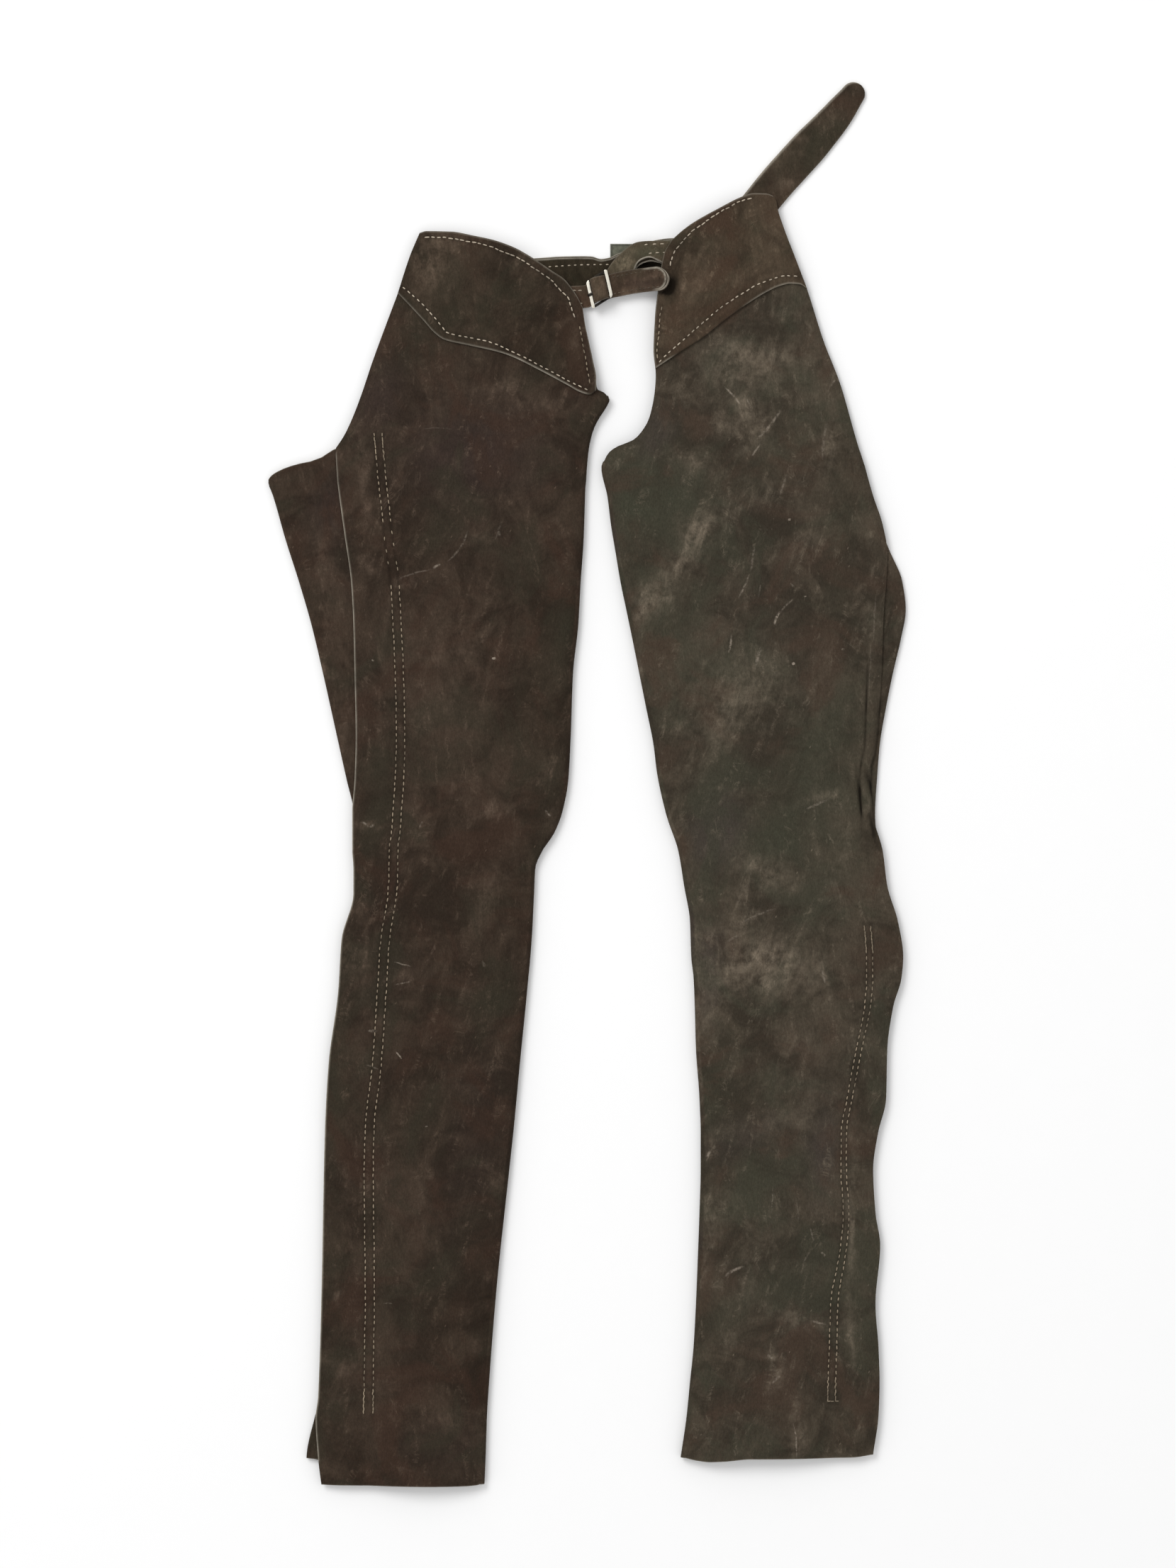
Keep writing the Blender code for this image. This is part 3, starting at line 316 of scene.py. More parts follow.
def stains_and_painted_light(**tones):
    """Rows of stains and of painted light and shade under the name of their tone, as one list."""
    return [Stain(tone, *row) for tone, rows in tones.items() for row in rows]


# Stains in the suede under each tone, with painted light among them: most dark rows are painted shade and
# shadow, a few pale rows are painted highlights on ridges. Each row is middle, angle from +X in degrees, half
# length, half width and amount
RIGHT_STAINS_AND_PAINTED_LIGHT = stains_and_painted_light(
    # The pale rows along the zip chain's ridge, near x -172 and -189, are painted highlights
    pale=((-74, 333, -14, 24, 6, 0.5), (-50, 321, 0, 18, 8, 0.4), (-24, 323, 4, 26, 3, 0.5),
          (-190, 288, -62, 15, 4, 0.7), (-187, 245, -82, 36, 5, 0.5), (-187, 183, -25, 10, 5, 0.8),
          (-158, 172, -8, 11, 4, 0.7), (-186, -36, 0, 12, 3, 0.9), (-80, -22, 14, 22, 6, 0.5),
          (-37, 12, 35, 17, 6, 0.5), (-32, -28, -20, 7, 4, 0.7), (-79, -80, 80, 24, 12, 0.35),
          (-97, -119, 20, 14, 9, 0.4), (-189, -140, 86, 48, 5, 0.45), (-155, -163, 0, 11, 6, 0.5),
          (-125, 108, 20, 17, 7, 0.4), (-112, -5, 45, 9, 4, 0.45), (-209, -438, 60, 4, 3, 0.9),
          (-204, -339, 80, 14, 3, 0.6), (-125, -405, -60, 16, 6, 0.35), (-83, -441, 10, 9, 4, 0.5),
          (-110, -537, 8, 22, 8, 0.35), (-207, -495, -12, 18, 7, 0.45), (-211, -520, 0, 14, 8, 0.3),
          (-106, -183, 60, 10, 5, 0.4), (-142, -352, 80, 30, 8, 0.2), (-132, 60, 60, 30, 14, 0.18),
          (-70, 440, -25, 12, 7, 0.35), (-18, 390, 10, 10, 4, 0.5), (-10, 372, 80, 16, 6, 0.35),
          (-130, 432, 70, 22, 8, 0.3), (-90, 410, 80, 20, 10, 0.18), (-100, 100, 80, 60, 26, 0.16),
          (-90, 210, 0, 16, 7, 0.3), (-116, 272, -30, 16, 4, 0.3), (-45, -330, 80, 30, 8, 0.18),
          (-172, 108, 88, 62, 2.6, 0.35), (-128, 446, 64, 34, 19, 0.75), (-68, -327, 84, 36, 14, 0.35),
          (-208, -150, 86, 40, 9, 0.35)),
    olive=((-17, 132, 90, 32, 9, 0.9), (-31, -4, 75, 42, 17, 0.6), (-175, 0, 90, 32, 13, 0.6),
           (-187, -60, 85, 34, 13, 0.6), (-77, -190, 0, 26, 16, 0.8), (-137, -282, 60, 34, 14, 0.5),
           (-216, -250, 88, 74, 14, 0.9), (-170, -420, 80, 36, 13, 0.6), (-80, -100, 20, 26, 13, 0.5),
           (-131, 207, 60, 22, 14, 0.5), (-30, 100, 85, 70, 22, 0.4), (-112, -400, 70, 60, 20, 0.35),
           (-215, -420, 88, 60, 10, 0.4), (-120, 370, 10, 40, 20, 0.3), (-233, -556, 80, 22, 6, 1.0),
           (-118, 430, 70, 34, 16, 0.5), (-151, 370, 60, 28, 14, 0.9)),
    violet=((-98, 279, 4, 58, 42, 0.8), (-178, 327, 60, 34, 20, 0.7), (-95, -300, 80, 80, 26, 0.35),
            (-110, -560, 0, 60, 26, 0.25), (0, 360, 80, 34, 7, 0.5)),
    # Dark rows: painted shade along the inner fold, beside the zip chain's ridge and over the lower back, and
    # a few darker patches
    dark=((-168.4, 128, 88.6, 62, 2.4, 0.12), (-119, -297, 80, 60, 40, 0.06), (-151, 370, 60, 26, 13, 0.1),
          (-232, -556, 78, 20, 4, 0.22), (-84, -510, 88.5, 70, 2.0, 0.3), (-61.5, -300, 86.5, 66, 2.0, 0.1),
          (-7, 142, 84.3, 125, 8, 0.45), (-84, -468, 84.5, 82, 14, 0.34)))
LEFT_STAINS_AND_PAINTED_LIGHT = stains_and_painted_light(
    # The pale rows on the zip chain's ridge near x 222 to 224 and on the wrinkle ridge at (234.6, -14) are
    # painted highlights
    pale=((133, 316, -45, 12, 6, 0.9), (121, 303, 0, 14, 10, 0.6), (145, 297, 58, 22, 9, 0.8),
          (117, 369, -20, 16, 9, 0.55), (160, 362, 8, 28, 7, 0.5), (156, 399, 5, 24, 8, 0.4),
          (182, 390, -60, 9, 4, 0.6), (80, 273, -18, 32, 8, 0.45), (79, 185, 50, 62, 9, 0.7),
          (94, 216, 30, 18, 12, 0.6), (52, 150, 40, 24, 10, 0.5), (205, 291, 80, 28, 5, 0.7),
          (193, 327, 70, 16, 4, 0.4), (148, 243, 45, 16, 6, 0.4), (237, 160, 92, 62, 7, 0.4),
          (181, 201, 10, 20, 12, 0.25), (148, -156, -5, 38, 22, 0.85), (148, -74, -38, 30, 14, 0.7),
          (133, -116, 28, 40, 5, 0.6), (199, -9, 22, 24, 4, 0.6), (199, -162, -82, 18, 3, 0.6),
          (132, -96, 60, 11, 6, 0.5), (163, -288, 20, 22, 7, 0.4), (101, -309, 70, 9, 4, 0.7),
          (178, -452, -14, 28, 6, 0.6), (155, -484, -20, 10, 4, 0.8), (160, -505, 40, 9, 4, 0.8),
          (118, -470, 60, 10, 6, 0.5), (110, -360, 60, 20, 14, 0.45), (177, -552, 88, 28, 6, 0.55),
          (224, -366, 88, 64, 3, 0.6), (222, -470, 90, 40, 3, 0.5), (190, -270, 75, 40, 5, 0.35),
          (94, 450, 10, 12, 5, 0.6), (90, 420, 70, 22, 8, 0.35), (160, 455, 70, 30, 10, 0.25),
          (196, 0, 88, 90, 10, 0.2), (215, -60, 88, 50, 9, 0.35), (105, -190, 60, 26, 14, 0.3),
          (130, 60, 30, 50, 24, 0.22), (170, -230, 60, 40, 20, 0.25), (140, -410, 70, 40, 12, 0.25),
          (133, 350, 10, 50, 26, 0.6), (92, -147, 88, 40, 9, 0.4), (99, -387, 86, 40, 8, 0.3),
          (127, 78, 30, 60, 40, 0.42), (146, -146, 20, 46, 32, 0.32), (234.6, -14, 97, 26, 1.6, 0.5),
          (79.5, 422, 90, 6, 4, 0.6)),
    olive=((43, 252, 70, 48, 30, 1.0), (79, 240, 20, 36, 24, 0.7), (60, 150, -72, 62, 26, 0.7),
           (103, 87, 20, 72, 32, 0.7), (193, 27, 70, 64, 30, 0.9), (157, -45, 10, 52, 24, 0.8),
           (199, -93, 60, 38, 22, 0.7), (163, 279, 40, 42, 20, 0.6), (175, 343, 10, 30, 13, 0.6),
           (103, -267, 80, 50, 24, 0.6), (151, -333, 30, 48, 28, 0.8), (160, -423, 30, 26, 14, 0.6),
           (115, -447, 30, 32, 18, 0.45), (232, -450, 85, 40, 10, 0.6), (110, 0, 80, 60, 24, 0.5),
           (90, -130, 85, 50, 12, 0.5), (105, 410, 60, 40, 22, 0.35), (215, 200, 80, 60, 14, 0.35)),
    violet=((109, -39, 80, 32, 22, 0.9), (103, -160, 88, 38, 12, 0.7), (199, -309, 85, 42, 14, 0.6),
            (58, 297, 60, 22, 14, 0.6), (130, -300, 20, 44, 16, 0.4)),
    # Dark rows: painted shadow beside and under the tongue's tip, and painted shade in the creases along the
    # flap's edge
    dark=((71, 420.5, 74, 8.5, 4.4, 1.7), (230.4, -12, 97, 19, 2.0, 0.9), (238.8, -1, 108, 12, 2.2, 0.9),
          (241, -38, -77, 15, 2.2, 0.9), (244.2, 28, 88, 22, 3.0, 0.3), (65, 415.3, 0, 6, 1.8, 1.2)))

# How far the stains and the painted light and shade of the back lie from those of the front
BACK_MARK_SHIFT = (34, 90)

# Scratches that go through the nap: start, end, bow to the left of the way, half width and strength
RIGHT_SCRATCHES = [Scratch(*row) for row in (
    (-162, 172, -130, 181, 1, 1.0, 0.45), (-131, 181, -124, 185, 0.3, 1.4, 0.9),
    (-119, 187, -101, 214, -3, 1.2, 0.6), (-75, 213, -74, 209, 0, 1.4, 0.7),
    (-78, 205, -72, 222, 0, 0.9, 0.35), (-162, -227, -157, -233, 0, 0.9, 1.2),
    (-164, -151, -148, -155, 0, 0.7, 0.8), (-163, -171, -149, -168, 0.5, 0.8, 0.7),
    (-142, -38, -139, -32, 0.6, 1.0, 0.6), (-186, -209, -178, -210, 0, 1.4, 0.8),
    (-80, 105, -78, 105.6, 0, 1.3, 1.8), (-182, 104, -181.6, 103.6, 0, 1.0, 1.0),
    (-136, -290, -135.6, -290, 0, 0.9, 1.0), (-188, -238, -176, -242, 0, 0.9, 0.5),
    (-173, -440, -164, -440, 0, 0.6, 0.5), (-36, -23, -31, -28, 0, 1.2, 0.8),
    (-192, -33, -185, -37, 1, 1.2, 0.8), (-184, -37, -180, -35, 0, 1.2, 0.7),
    (-89, -150, -86, -155, 0, 1.5, 0.5), (-140, 300, -113, 299, 1, 0.8, 0.3))]
LEFT_SCRATCHES = [Scratch(*row) for row in (
    (116, 336, 130, 319, 0.5, 1.1, 1.0), (135, 325, 139, 317, 0, 0.9, 0.7),
    (142, 290, 164, 317, -2, 1.6, 0.8), (139, 276, 146, 287, 0, 1.1, 0.8),
    (158, 134, 163, 145, 1, 1.3, 1.4), (162, 142, 175, 156, 1.5, 1.0, 0.7),
    (171, 169, 175, 166, 0, 1.3, 0.6), (127, 156, 137, 177, -1, 1.1, 0.8),
    (138, 178, 141, 201, 0, 1.4, 0.55), (144, 156, 147, 170, 0, 0.9, 0.45),
    (119, 110, 121.5, 126, -0.7, 1.2, 1.0), (142, 99, 147, 115, 0, 1.9, 0.8),
    (163, 243, 168, 261, 0, 1.3, 0.5), (206, 336, 210, 342, 0, 1.2, 0.7), (199, 273, 203, 306, 1, 1.6, 0.5),
    (170.6, 223, 171, 223, 0, 1.1, 1.4), (173.6, 101, 174.6, 101.4, 0, 1.3, 1.9),
    (215.6, 113, 216.4, 113, 0, 1.1, 0.9), (184, 158, 184.6, 158, 0, 0.8, 1.0),
    (118, -135, 129, -128, 0.5, 1.3, 0.5), (130, -118, 161, -106, 1.5, 1.1, 0.5),
    (184, -22, 205, -13, 0, 1.4, 0.6), (201, -169, 199, -158, 0, 1.2, 0.7),
    (101, -317, 104, -311, 0, 1.4, 1.0), (116, -417, 132, -408, 0.5, 1.6, 0.9),
    (189, -454, 202, -458, 0, 1.1, 0.8), (198, -396, 201, -400, 0, 1.4, 0.9),
    (152, -483, 157, -486, 0, 1.6, 0.9), (156, -507, 163, -500, 0, 1.4, 0.8),
    (174, -540, 177, -571, 1, 0.8, 0.9), (157, -340, 156, -364, 0, 0.8, 0.5),
    (176, -350, 178, -372, 1, 0.8, 0.4), (244, 160, 242, 120, 0, 1.0, 0.4),
    (188, -375, 192, -387, 0, 0.9, 0.5), (181, -414, 188, -396, 1, 0.9, 0.45),
    (240, 120, 237, 60, 0.5, 0.8, 0.35))]

# Small folds and wrinkles, on top of the largest ones
RIGHT_WRINKLES = [Fold(*row) for row in (
    (-18, 319, 3, 30, 4, -0.8), (-14, 327, -8, 24, 6, 0.7), (-74, 333, -13, 28, 6, 0.6),
    (-189, 288, -58, 17, 4, 0.6), (-193, 262, -80, 20, 4, 0.4), (-50, -51, 35, 28, 6, -0.8),
    (-60, -64, 28, 30, 7, 0.8), (-52, -86, 12, 28, 6, -0.6), (-112, 197, 36, 36, 4, 0.4),
    (-90, -120, 8, 44, 9, 0.6), (-100, -190, -10, 44, 10, -0.6), (-60, 120, 70, 50, 9, 0.5),
    (-82, 40, -20, 40, 9, -0.45), (-205, -300, 84, 60, 5, 0.4), (-140, -480, 60, 46, 10, 0.5),
    (-100, -560, 4, 60, 9, -0.5), (-170, 235, 70, 30, 6, -0.4), (-70, 280, 50, 36, 8, 0.45),
    (-120, -380, 76, 60, 9, -0.5), (-95, 150, 20, 40, 8, 0.4))]
LEFT_WRINKLES = [Fold(*row) for row in (
    (131, 317, -52, 22, 4, 0.6), (150, 301, 52, 26, 5, 0.7), (141, 305, 85, 30, 6, -0.5),
    (80, 184, 50, 70, 6, 0.7), (62, 196, 50, 55, 6, -0.5), (136, -116, 25, 44, 6, 0.6),
    (148, -134, 10, 44, 7, -0.6), (160, -28, -30, 44, 7, 0.6), (198, -12, 22, 30, 5, 0.6),
    (100, 40, 30, 44, 9, -0.5), (205, 290, 80, 40, 6, 0.6), (192, 250, 74, 50, 7, -0.5),
    (222, 120, 86, 60, 5, -0.5), (215, 160, 86, 60, 6, 0.5), (160, 140, 55, 30, 5, 0.5),
    (138, 185, 84, 36, 5, 0.4), (185, -290, 76, 50, 8, 0.6), (170, -270, 78, 44, 6, -0.5),
    (120, -545, 0, 44, 10, 0.6), (178, -520, 84, 44, 8, 0.5), (190, -460, 80, 40, 7, -0.5),
    (130, -390, 30, 36, 8, -0.4), (95, 270, -14, 36, 6, 0.5), (150, 370, 10, 40, 8, 0.4),
    (234.6, -14, 97, 30, 2.4, 1.3), (230.2, -12, 97, 22, 2.0, -0.9), (239.6, -20, 96, 34, 2.2, -1.0))]

BILLET_STAINS = stains_and_painted_light(
    pale=((178, 533, 60, 5, 3, 0.7), (181, 543, 60, 4, 3, 0.8), (170, 532, 60, 5, 3, 0.5),
          (161, 507, 40, 6, 3, 0.5), (170, 508, 40, 6, 3, 0.5), (163, 524, 50, 9, 4, 0.4),
          (205, 566, 45, 20, 6, 0.35)),
    olive=((186, 540, 48, 40, 12, 0.5),))
TONGUE_STAINS_AND_PAINTED_SHADE = stains_and_painted_light(
    pale=((58, 431, 8, 14, 3, 0.6), (40, 424, 12, 22, 7, 0.25), (10, 419, 20, 9, 9, 0.35),
          (50, 421.5, 2, 8, 1.2, 0.5), (56, 430.6, -4, 6, 1.0, 0.6)),
    olive=((8, 419, 20, 10, 10, 0.7),),
    violet=((50, 425, 8, 20, 6, 0.5),),
    # Dark rows: painted shade under the crest over the middle bar, and a darker patch near the tip
    dark=((13, 408, 20, 9, 1.6, 0.8), (56, 425, 4, 15, 5, 0.34), (60, 426.5, 4, 8, 8, 0.25)))
CHAPE_STAINS = stains_and_painted_light(
    pale=((28, 436, 55, 14, 8, 0.5), (34, 443, 48, 11, 5, 0.75), (26, 431, 60, 8, 6, 0.4)),
    olive=((52, 452, 0, 16, 6, 0.8),))
BELT_STAINS_AND_PAINTED_SHADE = stains_and_painted_light(
    pale=((20, 445, 0, 10, 2, 0.9),),
    # Dark rows: painted shadow in the gap under the chape's lip, and a darker patch near the buckle
    dark=((52, 438.6, -2, 13, 3.6, 1.3), (22, 428, 30, 14, 10, 0.45)))

# Rows of stitches on the yokes
RIGHT_YOKE_ROWS = (
    ((-157, 421), (-153, 417.5), (-145, 410.5), (-133.5, 399), (-124, 388), (-118.5, 381.5), (-105, 378),
     (-87, 374.5), (-73, 369.5), (-57, 362), (-37.5, 352), (-19, 342), (0, 333)),
    ((-138, 462.5), (-121.5, 462), (-103, 459), (-84, 455), (-73, 450.5), (-58.5, 444.5), (-49, 438.5),
     (-38, 431), (-31.5, 426.5), (-23, 417.5), (-16, 410), (-12.5, 399), (-10, 393)),
    ((-6.5, 388), (-5, 378), (-2, 362), (1, 345), (2.5, 336)))
LEFT_YOKE_ROWS = (
    ((60, 355.5), (68, 363.5), (82.5, 376), (99.5, 391), (115.5, 404), (130.5, 414), (145, 422.5), (158, 427),
     (169, 429.5), (178, 429)),
    ((139.5, 495.5), (130.5, 493), (119, 487), (108.5, 481), (99.5, 474.5), (89.5, 467.5), (80.5, 458),
     (75.5, 452), (71.5, 444), (70, 437)),
    ((63.5, 404), (61.5, 395), (60.5, 380), (59, 369), (59, 358)))

# The pair of rows that holds each zip: its ends, and half the distance between the rows at each y
Rows = namedtuple("Rows", "low high half_gaps")
RIGHT_ZIP_ROWS = Rows(low=-532, high=296, half_gaps=((-532, 3.9), (-293, 3.8), (56, 3.6), (296, 3.3)))
LEFT_ZIP_ROWS = Rows(low=-522, high=-120,
                     half_gaps=((-522, 3.3), (-440, 3.0), (-364, 2.4), (-295, 2.2), (-220, 2.2), (-161, 2.7)))
ZIP_ROW_GAP = (170, 222)
MISSED_STITCHES = 0.7
ACROSS_PITCH = 3.4

# The crease that takes the place of the left leg's rows above them, as a stretch of y
LEFT_CREASE = (-30, 130)

# The flap's edge: the stretch of y where painted shadow darkens it, and where its pale core dims towards its
# top
NO_FLAP_SHADOW = (900, 1000)
LEFT_FLAP_SHADOW = (-50, 96)
DIM_FLAP_TOP = 0.5
DIM_FLAP_FROM = 232

# How far the hem lies above its level at each x
RIGHT_HEM_WAVE = ((-239, 0.4), (-228, -0.6), (-216, -1.0), (-150, -0.6), (-104, -0.2), (-94, 0.5), (-87, 2.8))
LEFT_HEM_WAVE = ((79, 2), (92, -1), (103, -2.2), (115, -1.6), (139, 0.8), (175, 0.8), (223, 1.4), (242, 3.6))

# Fine stitches of the tongue: their length, pitch, first place past the middle bar and distance from the edge
TONGUE_STITCH = 2.6
TONGUE_ROW_PITCH = 3.8
TONGUE_ROW_START = 8.0
TONGUE_ROW_INSET = 3.2

# How far the rims of the stains and painted highlights wander, each as reach and size of its patches
BROAD_WANDER = (7, 26)
SMALL_WANDER = (3, 9)

# Colours that the settings don't offer, the tints of the suede's tones and those of its smaller pieces
TONE_TINTS = {"olive": (0.72, 0.88, 0.84), "red": (0.96, 0.79, 0.78), "violet": (0.82, 0.80, 1.0),
              "pale": (2.9, 2.95, 3.05)}
SCRATCH_COLOUR = (0.27, 0.225, 0.18)
SHEEN_COLOUR = (0.80, 0.66, 0.50)
# A dark steel for painted shade on the buckle's rails and prong
SHADED_STEEL_COLOUR = (0.032, 0.028, 0.024)
TONGUE_THREAD_SHADE = 0.45
SUEDE_TINTS = {
    "yoke_right": ("suede_brown", (0.90, 0.92, 0.90)), "yoke_left": ("suede_olive", (1.0, 0.91, 0.85)),
    "suede_strap": ("suede_brown", (1.62, 1.56, 1.5)), "suede_chape": ("suede_olive", (1.5, 1.46, 1.36)),
    "suede_belt": ("suede_brown", (0.74, 0.82, 0.74)), "suede_billet": ("suede_brown", (1.1, 1.14, 1.12))}

# Weaves: the colour of the ground, the colour of the raised threads and the distance between them
WEAVES = {"zip_tape": ((0.012, 0.011, 0.010), (0.030, 0.028, 0.025), 0.8),
          "label_weave": ((0.050, 0.055, 0.040), (0.23, 0.225, 0.165), 0.5),
          "label_border": ((0.050, 0.052, 0.040), (0.11, 0.11, 0.085), 0.5)}

# Zip teeth, slider and pull
TOOTH_SIZE = (3.6, 1.3, 1.3)
TOOTH_ASIDE = 1.0
TEETH_Z = TAPE_Z + TAPE_THICKNESS / 2 + 0.6
SLIDER_SIZE = (8.5, 10.0, 2.3)
SLIDER_Z = 6.5
PULL_SIZE = (5.0, 20.0, 1.0)
PULL_THICKNESS = 0.8
PULL_WINDOW = (1.2, -6.5, -3.5)
PULL_REACH = 15.0
PULL_Z = 6.9

# Stage, in metres
FLOOR_SIZE = 9.0
FLOOR_Z = -0.0002
FLOOR_GLOW = 0.035
KEY_PLACE = (-2.6, 2.8, 4.4)
KEY_SIZE = 3.0
CAMERA_PLACE = (0.0006, -0.0006, 3.695)
CAMERA_LENS = 100.0
CAMERA_SENSOR = 36.0


class SmoothCurve:
    """A smooth curve through (position, value) points, with no overshoot between them."""

    def __init__(self, points):
        self.places = [point[0] for point in points]
        self.values = [point[1] for point in points]
        slopes = [(b[1] - a[1]) / (b[0] - a[0]) for a, b in zip(points, points[1:])]
        self.tangents = [slopes[0]]
        for before, after in zip(slopes, slopes[1:]):
            same_way = before * after > 0
            self.tangents.append(2 * before * after / (before + after) if same_way else 0.0)
        self.tangents.append(slopes[-1])

    def __call__(self, at):
        if at <= self.places[0]:
            return self.values[0]
        if at >= self.places[-1]:
            return self.values[-1]
        index = bisect.bisect_right(self.places, at) - 1
        span = self.places[index + 1] - self.places[index]
        t = (at - self.places[index]) / span
        low, high = self.values[index], self.values[index + 1]
        return ((2 * t ** 3 - 3 * t ** 2 + 1) * low + (t ** 3 - 2 * t ** 2 + t) * span * self.tangents[index]
                + (3 * t ** 2 - 2 * t ** 3) * high + (t ** 3 - t ** 2) * span * self.tangents[index + 1])


class PlanPath:
    """A smooth line on the plan through the given points, read by the distance along it."""

    def __init__(self, points):
        places = [0.0]
        for a, b in zip(points, points[1:]):
            places.append(places[-1] + math.dist(a, b))
        self.length = places[-1]
        self.x = SmoothCurve(list(zip(places, [point[0] for point in points])))
        self.y = SmoothCurve(list(zip(places, [point[1] for point in points])))

    def at(self, distance):
        return self.x(distance), self.y(distance)

    def frame(self, distance):
        """Point and unit direction at a distance along the path; it runs on straight past its ends."""
        inside = min(max(distance, 0.0), self.length)
        low, high = max(inside - 0.5, 0.0), min(inside + 0.5, self.length)
        ahead = (Vector(self.at(high)) - Vector(self.at(low))).normalized()
        return Vector(self.at(inside)) + ahead * (distance - inside), ahead

    def samples(self, step):
        count = max(2, round(self.length / step))
        return [self.at(self.length * index / count) for index in range(count + 1)]


def blend(low, high, share):
    return low + (high - low) * share


def smooth_step(low, high, at):
    t = min(max((at - low) / (high - low), 0.0), 1.0)
    return t * t * (3 - 2 * t)


def bump(distance, width):
    """1 in the middle, fading out over the width."""
    return math.exp(-(distance / width) ** 2)


def closer_at_ends(share):
    """Shares from 0 to 1 that lie closer together at both ends."""
    return share - 0.75 * math.sin(2 * math.pi * share) / (2 * math.pi)


def wave(x, y, size, seed):
    """Smooth noise from about -1 to 1 whose patches are about as large as size."""
    return noise.noise(Vector((x / size, y / size, seed)))


def column(rows, name):
    """A smooth curve through one named column of a table, read by y."""
    return SmoothCurve([(row.y, getattr(row, name)) for row in rows])


def on_line(start, end, part):
    return blend(start[0], end[0], part), blend(start[1], end[1], part)


def fold_height(folds, x, y):
    """Soft ridges and troughs, each an ellipse that fades out at its rim."""
    total = 0.0
    for fold in folds:
        reach = fold.length * 1.8
        if abs(x - fold.x) < reach and abs(y - fold.y) < reach:
            turn = math.radians(fold.angle)
            along = (x - fold.x) * math.cos(turn) + (y - fold.y) * math.sin(turn)
            across = (y - fold.y) * math.cos(turn) - (x - fold.x) * math.sin(turn)
            total += fold.height * math.exp(-2 * ((along / fold.length) ** 2 + (across / fold.width) ** 2))
    return total


def distance_to_line(points, x, y):
    """Shortest distance to a line given by closely spaced points."""
    return min(math.hypot(point[0] - x, point[1] - y) for point in points)


def stain_and_light_amounts(stained, x, y):
    """How pale, olive, violet and dark the suede is at a point, from its stains and its painted light and
    shade. The rims wander, all but the dark ones, so the painted shade stays where it is put.
    """
    (broad, broad_size), (small, small_size) = BROAD_WANDER, SMALL_WANDER
    wander = Vector([broad * wave(x, y, broad_size, seed) + small * wave(x, y, small_size, small_seed)
                     for seed, small_seed in ((3.1, 6.2), (9.4, 12.7))])
    amounts = dict.fromkeys(TONES, 0.0)
    for mark in stained:
        reach = 1.8 * (mark.length + mark.width) + 10
        if abs(x - mark.x) < reach and abs(y - mark.y) < reach:
            away = Vector((x - mark.x, y - mark.y))
            if mark.tone != "dark":
                away += wander
            turn = math.radians(mark.angle)
            along = away.x * math.cos(turn) + away.y * math.sin(turn)
            across = away.y * math.cos(turn) - away.x * math.sin(turn)
            fade = math.exp(-1.2 * ((along / mark.length) ** 2 + (across / mark.width) ** 2))
            amounts[mark.tone] += mark.amount * fade
    return amounts


